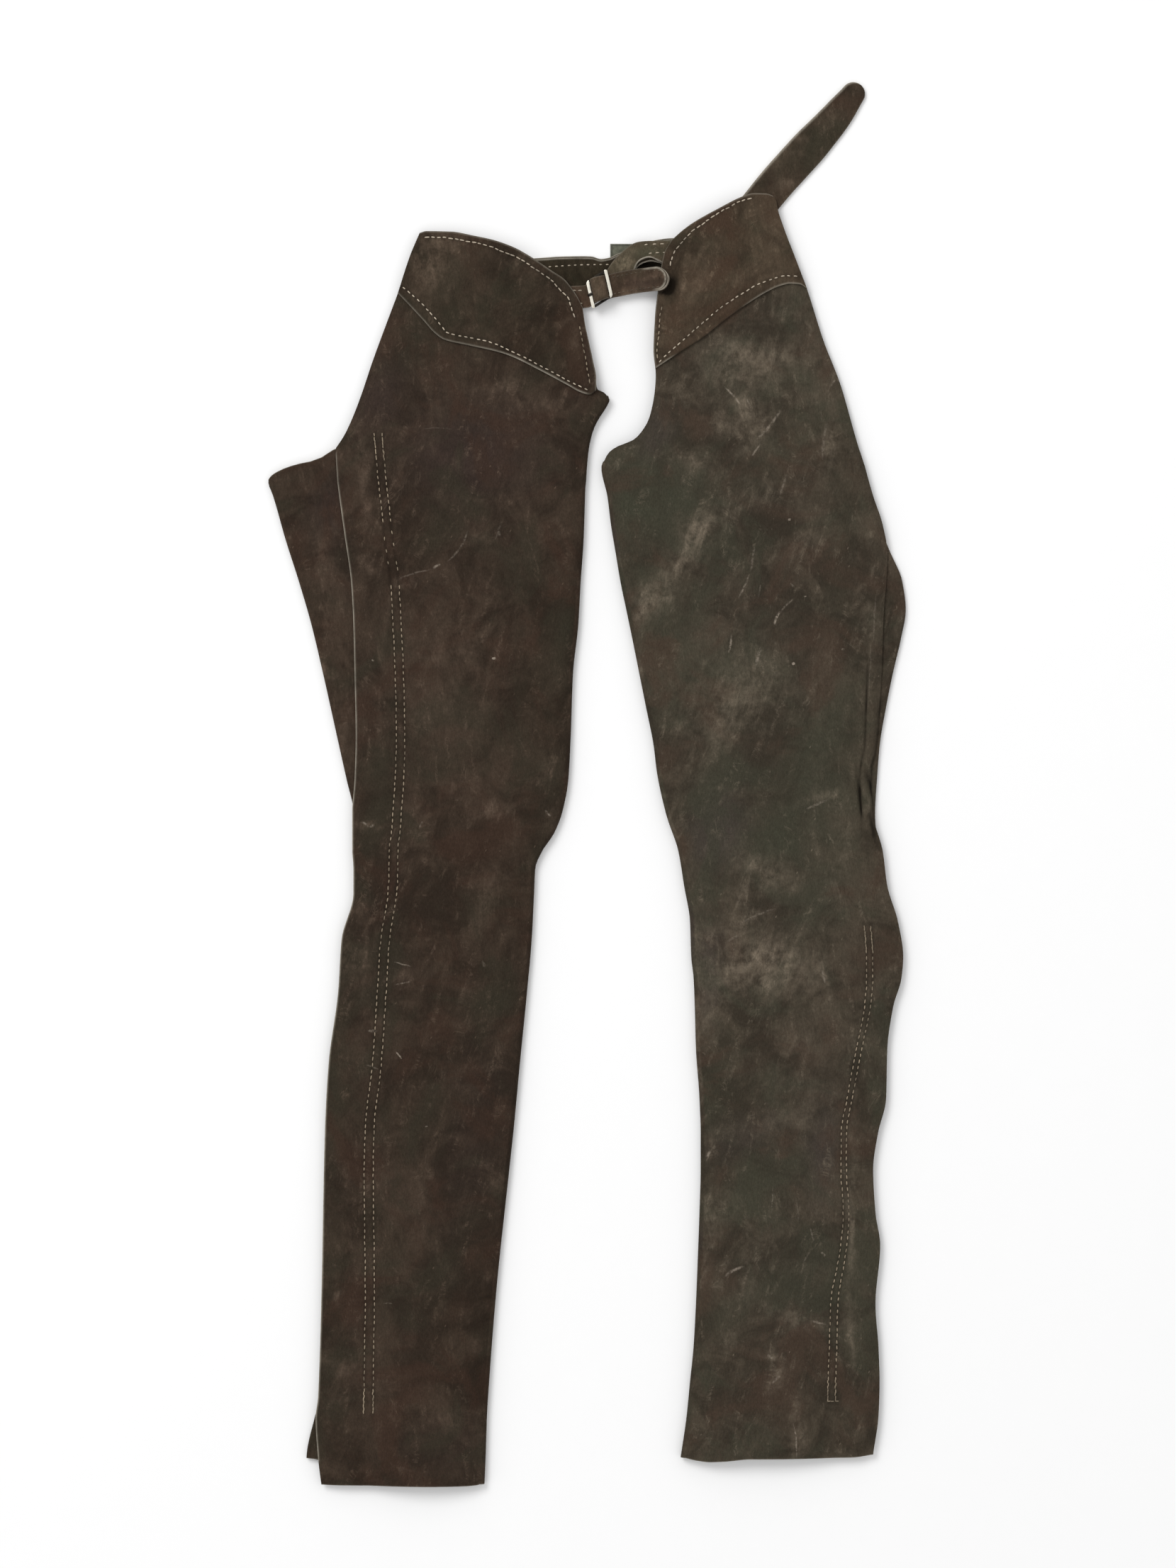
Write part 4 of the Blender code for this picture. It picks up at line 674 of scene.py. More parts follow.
class LegForm:
    """The shape of one leg: its lines seen from above and the height of its front layer."""

    def __init__(self, leg, wrinkles, rows, crease, stained, flap_raw, flap_shadow, hem_wave, seed):
        self.leg = leg
        self.flap_raw = flap_raw
        self.flap_shadow = flap_shadow
        self.hem_wave = SmoothCurve(hem_wave)
        self.flap, self.zip, self.inner, self.outer = (
            column(leg.sections, name) for name in ("flap", "zip", "inner", "outer"))
        self.edge_z, self.zip_z, self.inner_z, self.swell = (
            column(leg.heights, name) for name in ("edge", "zip", "inner", "swell"))
        self.back_top = SmoothCurve(sorted(leg.back_top))
        self.wrinkles = wrinkles
        self.rows = rows
        self.half_gap = SmoothCurve(rows.half_gaps)
        self.crease = crease
        self.stained = stained
        self.seed = seed

    def radius(self, fold, y):
        """A fold is pinched towards its top, where it ends in the edge above it."""
        top = getattr(self.leg.top, fold)
        return blend(TURNS[fold].radius, PINCHED_RADIUS, smooth_step(top - TURNS[fold].pinch, top, y))

    def droop(self, fold, y):
        """How far a fold's outermost line hangs below its row: this rounds off the corner at the top."""
        top = getattr(self.leg.top, fold)
        return TURNS[fold].droop * smooth_step(top - TURNS[fold].droop_from, top, y)

    def hem_shift(self, share, x):
        """The hem is cut a little unevenly."""
        return (1 - smooth_step(0.0, 0.06, share)) * self.hem_wave(x)

    def flap_line(self, distance, y):
        """How much pale raw edge and how much painted shadow the front shows at a distance from the flap's
        edge.
        """
        low, high = self.flap_shadow
        dark = smooth_step(low - 10, low + 20, y) * (1 - smooth_step(high - 50, high, y))
        pale = self.flap_raw * (1 - smooth_step(self.leg.top.flap - 8, self.leg.top.flap - 2, y))
        pale *= 1 - DIM_FLAP_TOP * smooth_step(DIM_FLAP_FROM, DIM_FLAP_FROM + 40, y)
        pale *= smooth_step(self.leg.hem.outer - 5, self.leg.hem.outer + 2, y)
        dark *= max(0.0, 0.55 + 1.1 * wave(y, 0, 11, self.seed + 2))
        return pale * raw_edge(distance, 1.25), dark * bump(distance, 1.5)

    def front_inner(self, y):
        """Where the front ends at its inner side: short of the fold, or at the edge above the crotch."""
        top = self.leg.top.inner
        fold = self.leg.inward * (self.radius("inner", y) + HIDE / 2)
        return self.inner(y) - fold * (1 - smooth_step(top, top + 8, y))

    def seam(self, x, y):
        """Depth of the stitching's furrows and of the crease above them, and the painted shade laid in them.
        """
        offset = abs(x - self.zip(y))
        low, high = self.rows.low, self.rows.high
        rows = smooth_step(low - 3, low, y) * (1 - smooth_step(high, high + 3, y))
        off_row = offset - self.half_gap(y)
        depth = rows * FURROW * bump(off_row, FURROW_WIDTH)
        shade = rows * 0.5 * bump(off_row, SEAM_SHADE_WIDTH)
        if self.crease:
            low, high = self.crease
            ends = smooth_step(low - 12, low + 12, y) * (1 - smooth_step(high - 60, high + 20, y))
            depth += ends * CREASE * bump(offset, CREASE_WIDTH)
            uneven = max(0.0, 0.6 + 1.2 * wave(y, 5, 9, self.seed + 4))
            shade += ends * uneven * bump(offset, CREASE_WIDTH * 0.7)
        return depth, shade

    def front_height(self, x, y):
        """Height of the middle of the front layer: flap, zip ridge, then a soft swell to the inner fold."""
        settings = bpy.context.scene.chaps_settings
        flap, stitching, inner = self.flap(y), self.zip(y), self.front_inner(y)
        zip_z = self.zip_z(y)
        over_flap = (x - flap) / (stitching - flap)
        wrinkle = settings.wrinkle_height * fold_height(self.wrinkles, x, y)
        ripple = RIPPLE[0] * wave(x, y, RIPPLE[1], self.seed)
        ripple += SMALL_RIPPLE[0] * wave(x, y, SMALL_RIPPLE[1], self.seed + 5)
        if over_flap <= 1:
            height = blend(self.edge_z(y), zip_z, smooth_step(0, 0.45, over_flap))
            height += max(wrinkle + 0.4 * ripple, -0.15) * smooth_step(0.02, 0.3, over_flap)
        else:
            across = min((x - stitching) / (inner - stitching), 1.0)
            arch = math.sin(math.pi * across)
            plateau = smooth_step(-0.05, 0.12, across) * (1 - smooth_step(0.9, 1.0, across))
            height = blend(zip_z, self.inner_z(y), across) + self.swell(y) * arch
            height += arch * fold_height(self.leg.folds, x, y)
            height += blend(max(0.4 * ripple, -0.15), ripple, smooth_step(0, 0.15, across))
            height += plateau * wrinkle
        chain = blend(stitching, flap, CHAIN_SHARE)
        low, high = self.leg.zip_span
        ends = smooth_step(low - 30, low, y) * (1 - smooth_step(high, high + 30, y))
        uneven = 0.85 + 0.3 * wave(y, 0, 60, self.seed + 9)
        return height + ends * uneven * CHAIN_RIDGE * bump(x - chain, CHAIN_RIDGE_WIDTH)

    def back_height(self, x, y, part):
        """The back lies flat, with a few low ridges that lift off the floor away from its folds."""
        ridge = BACK_RIDGE[0] * wave(x * 0.6 + y * 0.5, y * 0.35 - x * 0.3, BACK_RIDGE[1], self.seed + 3)
        return BACK_Z + max(ridge, 0.0) * math.sin(math.pi * part) * smooth_step(0.0, 0.3, part)


def front_columns(reach, width):
    """Distances of a row's points from the flap edge, closer together there and along the stitching."""
    squeeze = min(1.0, reach / NARROW_FLAP)
    edge = [distance * squeeze for distance in EDGE_BAND]
    band = [reach + distance * squeeze for distance in STITCH_BAND]
    flap = [blend(edge[-1], band[0], step / FLAP_COLUMNS) for step in range(1, FLAP_COLUMNS)]
    front = [blend(band[-1], width, step / FRONT_COLUMNS) for step in range(1, FRONT_COLUMNS + 1)]
    return edge + flap + band + front


def shares_with_edges(length, count):
    """Shares of a length from 0 to 1: a band of close ones at both ends and even steps between them."""
    near = [distance / length for distance in EDGE_BAND]
    even = [blend(near[-1], 1 - near[-1], step / count) for step in range(1, count)]
    return near + even + [1 - share for share in reversed(near)]


def raw_edge(distance, width=0.9):
    """How much of the pale raw edge shows at a distance from it."""
    return 1 - smooth_step(0.1, width, distance)


Crossing = namedtuple("Crossing", "flap stitching front_end back_start zip_edge")


def row_crossing(form, share):
    """Where a row at a share of the way from hem to crotch crosses the lines of a leg, as (x, y) points."""
    leg = form.leg
    flap_y, inner_y, outer_y, zip_y = (blend(low, high, share) for low, high in zip(leg.hem, leg.top))
    inner_fold, outer_fold = (leg.inward * (form.radius(fold, y) + HIDE / 2)
                              for fold, y in (("inner", inner_y), ("outer", outer_y)))
    return Crossing(flap=(form.flap(flap_y), flap_y), stitching=(form.zip(flap_y), flap_y),
                    front_end=(form.inner(inner_y) - inner_fold, inner_y),
                    back_start=(form.outer(outer_y) + outer_fold, outer_y),
                    zip_edge=(blend(form.zip(zip_y), form.flap(zip_y), TURNED_BACK_SHARE), zip_y))


def wrap_row(form, share, hem_raw, top_raw):
    """One row of a leg from the flap edge round the inner fold and the back to the zip edge of the back."""
    leg = form.leg
    at, top = row_crossing(form, share), row_crossing(form, 1.0)
    top_weight = smooth_step(0.8, 1.0, share)

    def back_point(line, part):
        """A point of the back, its row bent more and more to the shape of the back's top edge."""
        x, y = on_line(getattr(at, line[0]), getattr(at, line[1]), part)
        top_x, top_y = on_line(getattr(top, line[0]), getattr(top, line[1]), part)
        return x, y + top_weight * (form.back_top(top_x) - top_y)

    row = []
    width = abs(at.front_end[0] - at.flap[0])
    reach = abs(at.stitching[0] - at.flap[0])
    for distance in front_columns(reach, width):
        x, y = on_line(at.flap, at.front_end, distance / width)
        # Each front point takes the painted shade of the stitching's furrows and crease and the painted
        # shadow along the flap's edge
        depth, shade = form.seam(x, y)
        pale, dark = form.flap_line(distance, y)
        height = form.front_height(x, y) - depth
        row.append(Spot(x, y + form.hem_shift(share, x), height, max(pale, hem_raw), max(shade, dark), 1.0))

    def fold(x, reach, droop, high, low, raw, shade):
        """Half a turn from the row's last spot, out by the reach and back, from one height to the other, with
        the given painted shade strongest at its outermost point.
        """
        fold_y = row[-1].y
        for step in range(1, FOLD_STEPS + 1):
            turn = math.pi * step / FOLD_STEPS
            out = math.sin(turn)
            height = blend(low, high, (1 + math.cos(turn)) / 2)
            row.append(Spot(x + reach * out, fold_y - droop * out, height, raw, shade * out, 0.5))

    back_raw = max(hem_raw, top_raw)
    x, y = at.front_end
    # The inner fold gets painted shade (0.35), strongest where it turns furthest out; the outer fold below
    # gets none
    fold(x, leg.inward * form.radius("inner", y), form.droop("inner", y), row[-1].z, BACK_Z, hem_raw, 0.35)
    for step in range(1, BACK_COLUMNS + 1):
        part = closer_at_ends(step / BACK_COLUMNS)
        x, y = back_point(("front_end", "back_start"), part)
        row.append(Spot(x, y + form.hem_shift(share, x), form.back_height(x, y, part), back_raw, 0.0, 0.0))
    x, y = at.back_start
    fold(x, -leg.inward * form.radius("outer", y), form.droop("outer", y), BACK_Z, TURNED_BACK_Z, back_raw,
         0.0)
    for step in range(1, TURNED_COLUMNS + 1):
        x, y = back_point(("back_start", "zip_edge"), closer_at_ends(step / TURNED_COLUMNS))
        row.append(Spot(x, y + form.hem_shift(share, x), TURNED_BACK_Z, back_raw, 0.0, 0.5))
    return row


def wrap_grid(form):
    length = form.leg.top.inner - form.leg.hem.inner
    return [wrap_row(form, share, 0.4 * raw_edge(share * length), 0.5 * raw_edge((1 - share) * length))
            for share in shares_with_edges(length, WRAP_ROWS)]


def patch_point(bottom, top, left, right, across, up):
    """A point of a surface blended between four edge paths that meet at the corners."""
    low, high = bottom.at(across * bottom.length), top.at(across * top.length)
    near, far = left.at(up * left.length), right.at(up * right.length)
    corners = [bottom.at(0), bottom.at(bottom.length), top.at(0), top.at(top.length)]
    point = []
    for axis in (0, 1):
        ruled = blend(low[axis], high[axis], up) + blend(near[axis], far[axis], across)
        square = blend(blend(corners[0][axis], corners[1][axis], across),
                       blend(corners[2][axis], corners[3][axis], across), up)
        point.append(ruled - square)
    return point


def upper_grid(form, join):
    """The front above the crotch, sharing its lowest row with the wrapped part."""
    leg = form.leg
    width = join[-1].x - join[0].x
    shares = [(spot.x - join[0].x) / width for spot in join]
    corners = ((join[0].x, join[0].y), (join[-1].x, join[-1].y))
    edges = (PlanPath(corners), PlanPath(leg.waist), PlanPath(corners[:1] + leg.hip[1:]),
             PlanPath(corners[1:] + leg.centre[1:]))
    grid = [join]
    for step in range(1, UPPER_ROWS + 1):
        up = step / UPPER_ROWS
        even = smooth_step(0, 0.6, up)
        row = []
        for index, share in enumerate(shares):
            across = blend(share, index / (len(shares) - 1), even)
            x, y = patch_point(*edges, across, up)
            depth, shade = form.seam(x, y)
            raw = join[index].raw * (1 - smooth_step(0.0, 0.12, up))
            row.append(Spot(x, y, form.front_height(x, y) - depth, raw, shade, 1.0))
        grid.append(row)
    return grid


def leg_grids(form):
    """The wrapped part of a leg and the front above it, as two grids of points that share a row."""
    wrap = wrap_grid(form)
    front = len(front_columns(40.0, 200.0))
    return [wrap, upper_grid(form, wrap[-1][:front])]


def yoke_grid(form, rows):
    """A yoke is made from the front's own points, moved out by the two half thicknesses and the gap."""
    leg = form.leg
    edges = [PlanPath(points) for points in (leg.yoke_hem, leg.waist, leg.yoke_hip, leg.yoke_centre)]
    lines = [point for row in rows for point in PlanPath(row).samples(0.8)]
    hem_raw = SmoothCurve(leg.yoke_raw)
    columns = []
    for across in shares_with_edges(edges[0].length, YOKE_COLUMNS):
        low = Vector(patch_point(*edges, across, 0.0))
        high = Vector(patch_point(*edges, across, 1.0))
        length = (high - low).length
        spots = []
        for up in shares_with_edges(length, YOKE_ROWS):
            x, y = patch_point(*edges, across, up)
            away = distance_to_line(lines, x, y)
            raw = max(hem_raw(across) * raw_edge(up * length, 1.5), 0.42 * raw_edge((1 - up) * length, 1.8),
                      0.42 * raw_edge((1 - across) * edges[0].length, 1.8))
            # Painted shade along the stitch furrows, and a painted shadow line along the hem where the raw
            # edge hardly shows
            dark = max(0.45 * bump(away, SEAM_SHADE_WIDTH), (0.6 - hem_raw(across)) * bump(up * length, 0.9))
            height = form.front_height(x, y) + YOKE_LIFT - YOKE_FURROW * bump(away, FURROW_WIDTH)
            spots.append(Spot(x, y, height, raw, dark, 1.0))
        columns.append(spots)
    return [list(row) for row in zip(*columns)]


def zip_tape_grid(form):
    """The tape is a strip between the turned-up back and the flap."""
    leg = form.leg
    low, high = leg.zip_span
    rows = round((high - low) / 8)
    grid = []
    for step in range(rows + 1):
        y = blend(low, high, step / rows)
        inner_edge = form.zip(y) + leg.inward * ZIP_INNER_MARGIN
        outer_edge = blend(form.zip(y), form.flap(y), ZIP_OUTER_SHARE)
        xs = [blend(inner_edge, outer_edge, part / 8) for part in range(9)]
        grid.append([Spot(x, y, TAPE_Z, 0.0, 0.0, 0.0) for x in xs])
    return grid


def refined(profile, step):
    """A profile with points close together on a smooth curve through the given ones."""
    places = [0.0]
    for a, b in zip(profile, profile[1:]):
        places.append(places[-1] + math.dist(a, b))
    curves = [SmoothCurve(list(zip(places, values))) for values in zip(*profile)]
    count = round(places[-1] / step)
    return [tuple(curve(places[-1] * index / count) for curve in curves) for index in range(count + 1)]


def strap_spot(path, distance, height, half, share, curl=0.0, proud=0.0, raw=0.0, lean=None):
    """A point of a ribbon over a path: curl turns its right edge up and in, proud widens its left side."""
    point, ahead = path.frame(distance)
    side = Vector((-ahead.y, ahead.x))
    if lean is not None:
        side = Vector((-math.sin(math.radians(lean)), math.cos(math.radians(lean))))
    turned = curl * max(-share, 0.0) ** 2
    place = point + side * ((half + (proud if share > 0 else 0.0)) * share + turned)
    return Spot(place.x, place.y, height + CURL_RISE * turned, raw, 0.0, 1.0)


def strap_grid(path, profile, width, curl=NO_CURL, proud=None, raw_sides=(0.9, 0.9), raw_ends=(0.0, 0.0),
               raw_widths=(0.9, 0.9), lean=None):
    """A ribbon over a plan path. A profile point is (distance, height); raw_sides are its right and left."""
    width_at, curl_at = SmoothCurve(width), SmoothCurve(curl)
    lean_at = SmoothCurve(lean) if lean else lambda distance: None
    grid = []
    for index, (distance, height) in enumerate(profile):
        half = width_at(distance) / 2
        end_raw = raw_ends[0] * (index == 0) + raw_ends[1] * (index == len(profile) - 1)
        row = []
        for share in STRAP_SHARES:
            side_raw = raw_sides[share > 0] * raw_edge((1 - abs(share)) * half, raw_widths[share > 0])
            wider = proud(index, distance) if proud else 0.0
            row.append(strap_spot(path, distance, height, half, share, curl_at(distance), wider,
                                  max(side_raw, end_raw), lean_at(distance)))
        grid.append(row)
    return grid


def ply_edges(grid, path, radius):
    """At a strap's round tip the lower ply stands out past the upper one: two pale edges with a groove that
    is darkened with painted shade.
    """
    centre = Vector(path.at(path.length - radius))
    ahead = path.frame(path.length - radius)[1]
    for row in grid:
        for index, spot in enumerate(row):
            away = Vector((spot.x, spot.y)) - centre
            along = away.dot(ahead)
            if along > -14:
                aside = away.dot(Vector((-ahead.y, ahead.x)))
                from_edge = radius - (away.length if along > 0 else abs(aside))
                fade = smooth_step(-14, -6, along) if aside > 0 else smooth_step(-2, 1, along)
                inner = 1.2 + 1.9 * max(0.0, along / max(away.length, 1.0))
                plies = max(bump(from_edge - 0.4, 0.65), 0.95 * bump(from_edge - inner, 0.6))
                raw = max(spot.raw, fade * plies)
                drop = 0.5 * fade * (1 - smooth_step(0.55 * inner, 0.9 * inner, from_edge))
                groove = 0.9 * fade * bump(from_edge - 0.56 * inner, 0.18 * inner)
                row[index] = spot._replace(z=spot.z - drop, raw=raw, seam=groove)
    return grid


def rounded_end(length, width, steps=9):
    """Distances and widths that round off the end of a strap."""
    radius = width / 2
    turns = [math.radians(84) * step / steps for step in range(1, steps + 1)]
    return [(length - radius + radius * math.sin(turn), width * math.cos(turn)) for turn in turns]


def select_only(*items):
    for item in bpy.context.selected_objects:
        item.select_set(False)
    for item in items:
        item.select_set(True)
    bpy.context.view_layer.objects.active = items[0]


def thicken(item, thickness):
    """Gives an open surface its thickness, half of it to either side."""
    recalculate_normals(item)
    solidify = item.modifiers.new("Thickness", "SOLIDIFY")
    solidify.thickness = thickness * MM
    solidify.offset = 0.0
    solidify.use_even_offset = True


def round_edges(item, width, segments, angle=50, smooth_angle=None):
    """Rounds the edges that are sharper than an angle, applies what a piece is made of and smooths it."""
    bevel = item.modifiers.new("Edges", "BEVEL")
    bevel.width = width * MM
    bevel.segments = segments
    bevel.limit_method = "ANGLE"
    bevel.angle_limit = math.radians(angle)
    bevel.use_clamp_overlap = True
    select_only(item)
    for modifier in list(item.modifiers):
        bpy.ops.object.modifier_apply(modifier=modifier.name)
    if smooth_angle:
        smooth(item, smooth_angle)


def smooth(item, angle):
    select_only(item)
    bpy.ops.object.shade_smooth_by_angle(angle=math.radians(angle))


@contextmanager
def editing(item, kind=None, wanted=None):
    """Edit mode on one mesh, with the vertices or faces selected for which wanted(place in mm) is true."""
    select_only(item)
    bpy.ops.object.mode_set(mode="EDIT")
    if wanted:
        select_elements(item, kind, wanted)
    yield
    bpy.ops.object.mode_set(mode="OBJECT")


def select_elements(item, kind, wanted):
    bpy.ops.mesh.select_mode(type=kind)
    shape = bmesh.from_edit_mesh(item.data)
    for element in list(shape.verts) + list(shape.edges) + list(shape.faces):
        element.select = False
    found = 0
    for element in (shape.verts if kind == "VERT" else shape.faces):
        place = element.co if kind == "VERT" else element.calc_center_median()
        if wanted(place / MM):
            element.select = True
            found += 1
    if not found:
        raise RuntimeError(item.name + " has nothing to select")
    shape.select_flush(True)
    bmesh.update_edit_mesh(item.data)


def recalculate_normals(item):
    with editing(item):
        bpy.ops.mesh.select_all(action="SELECT")
        bpy.ops.mesh.normals_make_consistent(inside=False)


def sheet_object(name, grids, thickness, material, stained=(), edge=0.35):
    """Leather as an open surface, joined where its grids meet, then given its thickness and eased edges."""
    numbers = {}
    spots = []
    faces = []
    for grid in grids:
        rows = []
        for row in grid:
            line = []
            for spot in row:
                key = (round(spot.x, 4), round(spot.y, 4), round(spot.z, 4))
                if key not in numbers:
                    numbers[key] = len(spots)
                    spots.append(spot)
                line.append(numbers[key])
            rows.append(line)
        for low, high in zip(rows, rows[1:]):
            faces += [(a, b, c, d) for a, b, c, d in zip(low, low[1:], high[1:], high)]
    mesh = bpy.data.meshes.new(name)
    mesh.from_pydata([(spot.x * MM, spot.y * MM, spot.z * MM) for spot in spots], [], faces)
    mesh.materials.append(material_named(material))
    tones = [stain_and_light_amounts(stained, spot.x, spot.y) if spot.front == 1.0
             else stain_and_light_amounts(stained, spot.x + BACK_MARK_SHIFT[0], spot.y + BACK_MARK_SHIFT[1])
             for spot in spots]
    # Each point carries its raw edge, its painted shade, its side and the tones of its stains and painted
    # light as attributes for the material
    values = {label: [getattr(spot, label) for spot in spots] for label in ("raw", "seam", "front")}
    values.update({tone: [amounts[tone] for amounts in tones] for tone in TONES})
    for label, amounts in values.items():
        mesh.attributes.new(label, "FLOAT", "POINT").data.foreach_set("value", amounts)
    item = bpy.data.objects.new(name, mesh)
    bpy.context.collection.objects.link(item)
    thicken(item, thickness)
    round_edges(item, edge, 2, smooth_angle=50)
    return item


def take_primitive(name, material, size=None):
    """Names the primitive that was just added, and gives it its material and its size in millimetres."""
    item = bpy.context.object
    item.name = name
    item.data.name = name
    item.data.materials.clear()
    item.data.materials.append(material_named(material))
    if size:
        apply_transform(item)
        item.scale = [value * MM for value in size]
        apply_transform(item)
    return item


def apply_transform(item):
    select_only(item)
    bpy.ops.object.transform_apply(location=True, rotation=True, scale=True)


def cut_across(axis, *places):
    """Cuts the whole mesh with planes square to an axis, in edit mode."""
    normal = [0.0, 0.0, 0.0]
    normal[axis] = 1.0
    for place in places:
        bpy.ops.mesh.select_all(action="SELECT")
        bpy.ops.mesh.bisect(plane_co=[value * place * MM for value in normal], plane_no=normal)


def centre_bar_frame(name, shape, material, round_over):
    """A flat frame with a window either side of its centre bar, cut out of a plate and rounded over."""
    bpy.ops.mesh.primitive_plane_add(size=1)
    item = take_primitive(name, material, (shape.length, shape.height, 1.0))
    half, side = shape.length / 2 - shape.end_bar, shape.height / 2 - shape.side_bar
    bar_low, bar_high = shape.bar_shift - shape.centre_bar / 2, shape.bar_shift + shape.centre_bar / 2
    with editing(item):
        cut_across(0, -half, bar_low, bar_high, half)
        cut_across(1, -side, side)

    def in_window(place):
        return abs(place.y) < side and (-half < place.x < bar_low or bar_high < place.x < half)

    with editing(item, "FACE", in_window):
        bpy.ops.mesh.delete(type="FACE")
    corner = (shape.length / 2 - 0.01, shape.height / 2 - 0.01)
    with editing(item, "VERT", lambda p: abs(p.x) > corner[0] and abs(p.y) > corner[1]):
        bpy.ops.mesh.bevel(offset=shape.corner * MM, segments=6, affect="VERTICES")
    window = {round(value, 2) for value in (-half, bar_low, bar_high, half)}
    with editing(item, "VERT", lambda p: abs(abs(p.y) - side) < 0.01 and round(p.x, 2) in window):
        bpy.ops.mesh.bevel(offset=WINDOW_CORNER * MM, segments=3, affect="VERTICES")
    thicken(item, shape.thickness)
    round_edges(item, round_over, 4, smooth_angle=40)
    return item


def put(item, place, turn=0.0):
    """Moves a finished piece to its place on the plan, and leaves it with its origin at the world's."""
    item.location = Vector(place) * MM
    item.rotation_euler = (0.0, 0.0, turn)
    apply_transform(item)


def master_stitch(material, length, width):
    """One stitch along X: a thread whose two ends dip into the leather."""
    bpy.ops.mesh.primitive_uv_sphere_add(segments=8, ring_count=6, radius=0.5, rotation=ALONG_X)
    item = take_primitive("stitch", material, (length, width, width))
    with editing(item, "VERT", lambda p: abs(p.x) > length * 0.4):
        bpy.ops.transform.translate(value=(0.0, 0.0, -0.3 * width * MM))
    select_only(item)
    bpy.ops.object.shade_smooth()
    return item


def place_copies(master, places, name):
    """Copies of one piece, each with its own mesh, set at (x, y, z, turn, tilt, stretch) and joined."""
    copies = []
    for x, y, z, turn, tilt, stretch in places:
        copy = master.copy()
        copy.data = master.data.copy()
        move = (Matrix.Translation(Vector((x, y, z)) * MM) @ Matrix.Rotation(turn, 4, "Z")
                @ Matrix.Rotation(-tilt, 4, "Y") @ Matrix.Diagonal((stretch, 1.0, 1.0, 1.0)))
        copy.data.transform(move)
        bpy.context.collection.objects.link(copy)
        copies.append(copy)
    select_only(*copies)
    bpy.ops.object.join()
    joined = bpy.context.object
    joined.name = name
    joined.data.name = name
    return joined


def remove_piece(item):
    mesh = item.data
    bpy.data.objects.remove(item)
    bpy.data.meshes.remove(mesh)


def stitches_along(points, height_at, pitch, chance, shift=0.0, sideways=0.0, skip=None, stretch=1.0):
    """Places for stitches on a line: each lies on the leather's top, a little uneven."""
    path = PlanPath(points)
    count = int(path.length / pitch)
    places = []
    for index in range(count + 1):
        distance = (index + 0.5 + shift) * pitch + chance.uniform(-0.4, 0.4)
        if distance > path.length:
            break
        place, ahead = path.frame(distance)
        if skip and skip[0] < place.y < skip[1] and chance.random() < MISSED_STITCHES:
            continue
        side = Vector((-ahead.y, ahead.x)) * (sideways + chance.uniform(-0.22, 0.22))
        place += side
        before, after = (height_at(*(place + ahead * step)) for step in (-1.5, 1.5))
        turn = math.atan2(ahead.y, ahead.x) + chance.uniform(-0.1, 0.1)
        tilt = math.atan2(after - before, 3.0)
        middle = (before + after) / 2
        places.append((place.x, place.y, middle, turn, tilt, stretch * chance.uniform(0.8, 1.1)))
    return places


def back_tack(points, height_at, pitch, chance):
    """A second pass of stitches over both ends of a row."""
    whole = PlanPath(points)
    places = []
    for low, high, aside in ((0.0, BACK_TACK, 0.4), (whole.length - BACK_TACK, whole.length, 0.25)):
        part = [whole.at(blend(low, high, step / 4)) for step in range(5)]
        places += stitches_along(part, height_at, pitch, chance, shift=-0.45, sideways=aside)
    return places


def zip_row_points(form, side):
    """The line of one of the two rows along a zip."""
    low, high = form.rows.low, form.rows.high
    count = round((high - low) / 12)
    ys = [blend(low, high, step / count) for step in range(count + 1)]
    return [(form.zip(y) + side * form.half_gap(y), y) for y in ys]


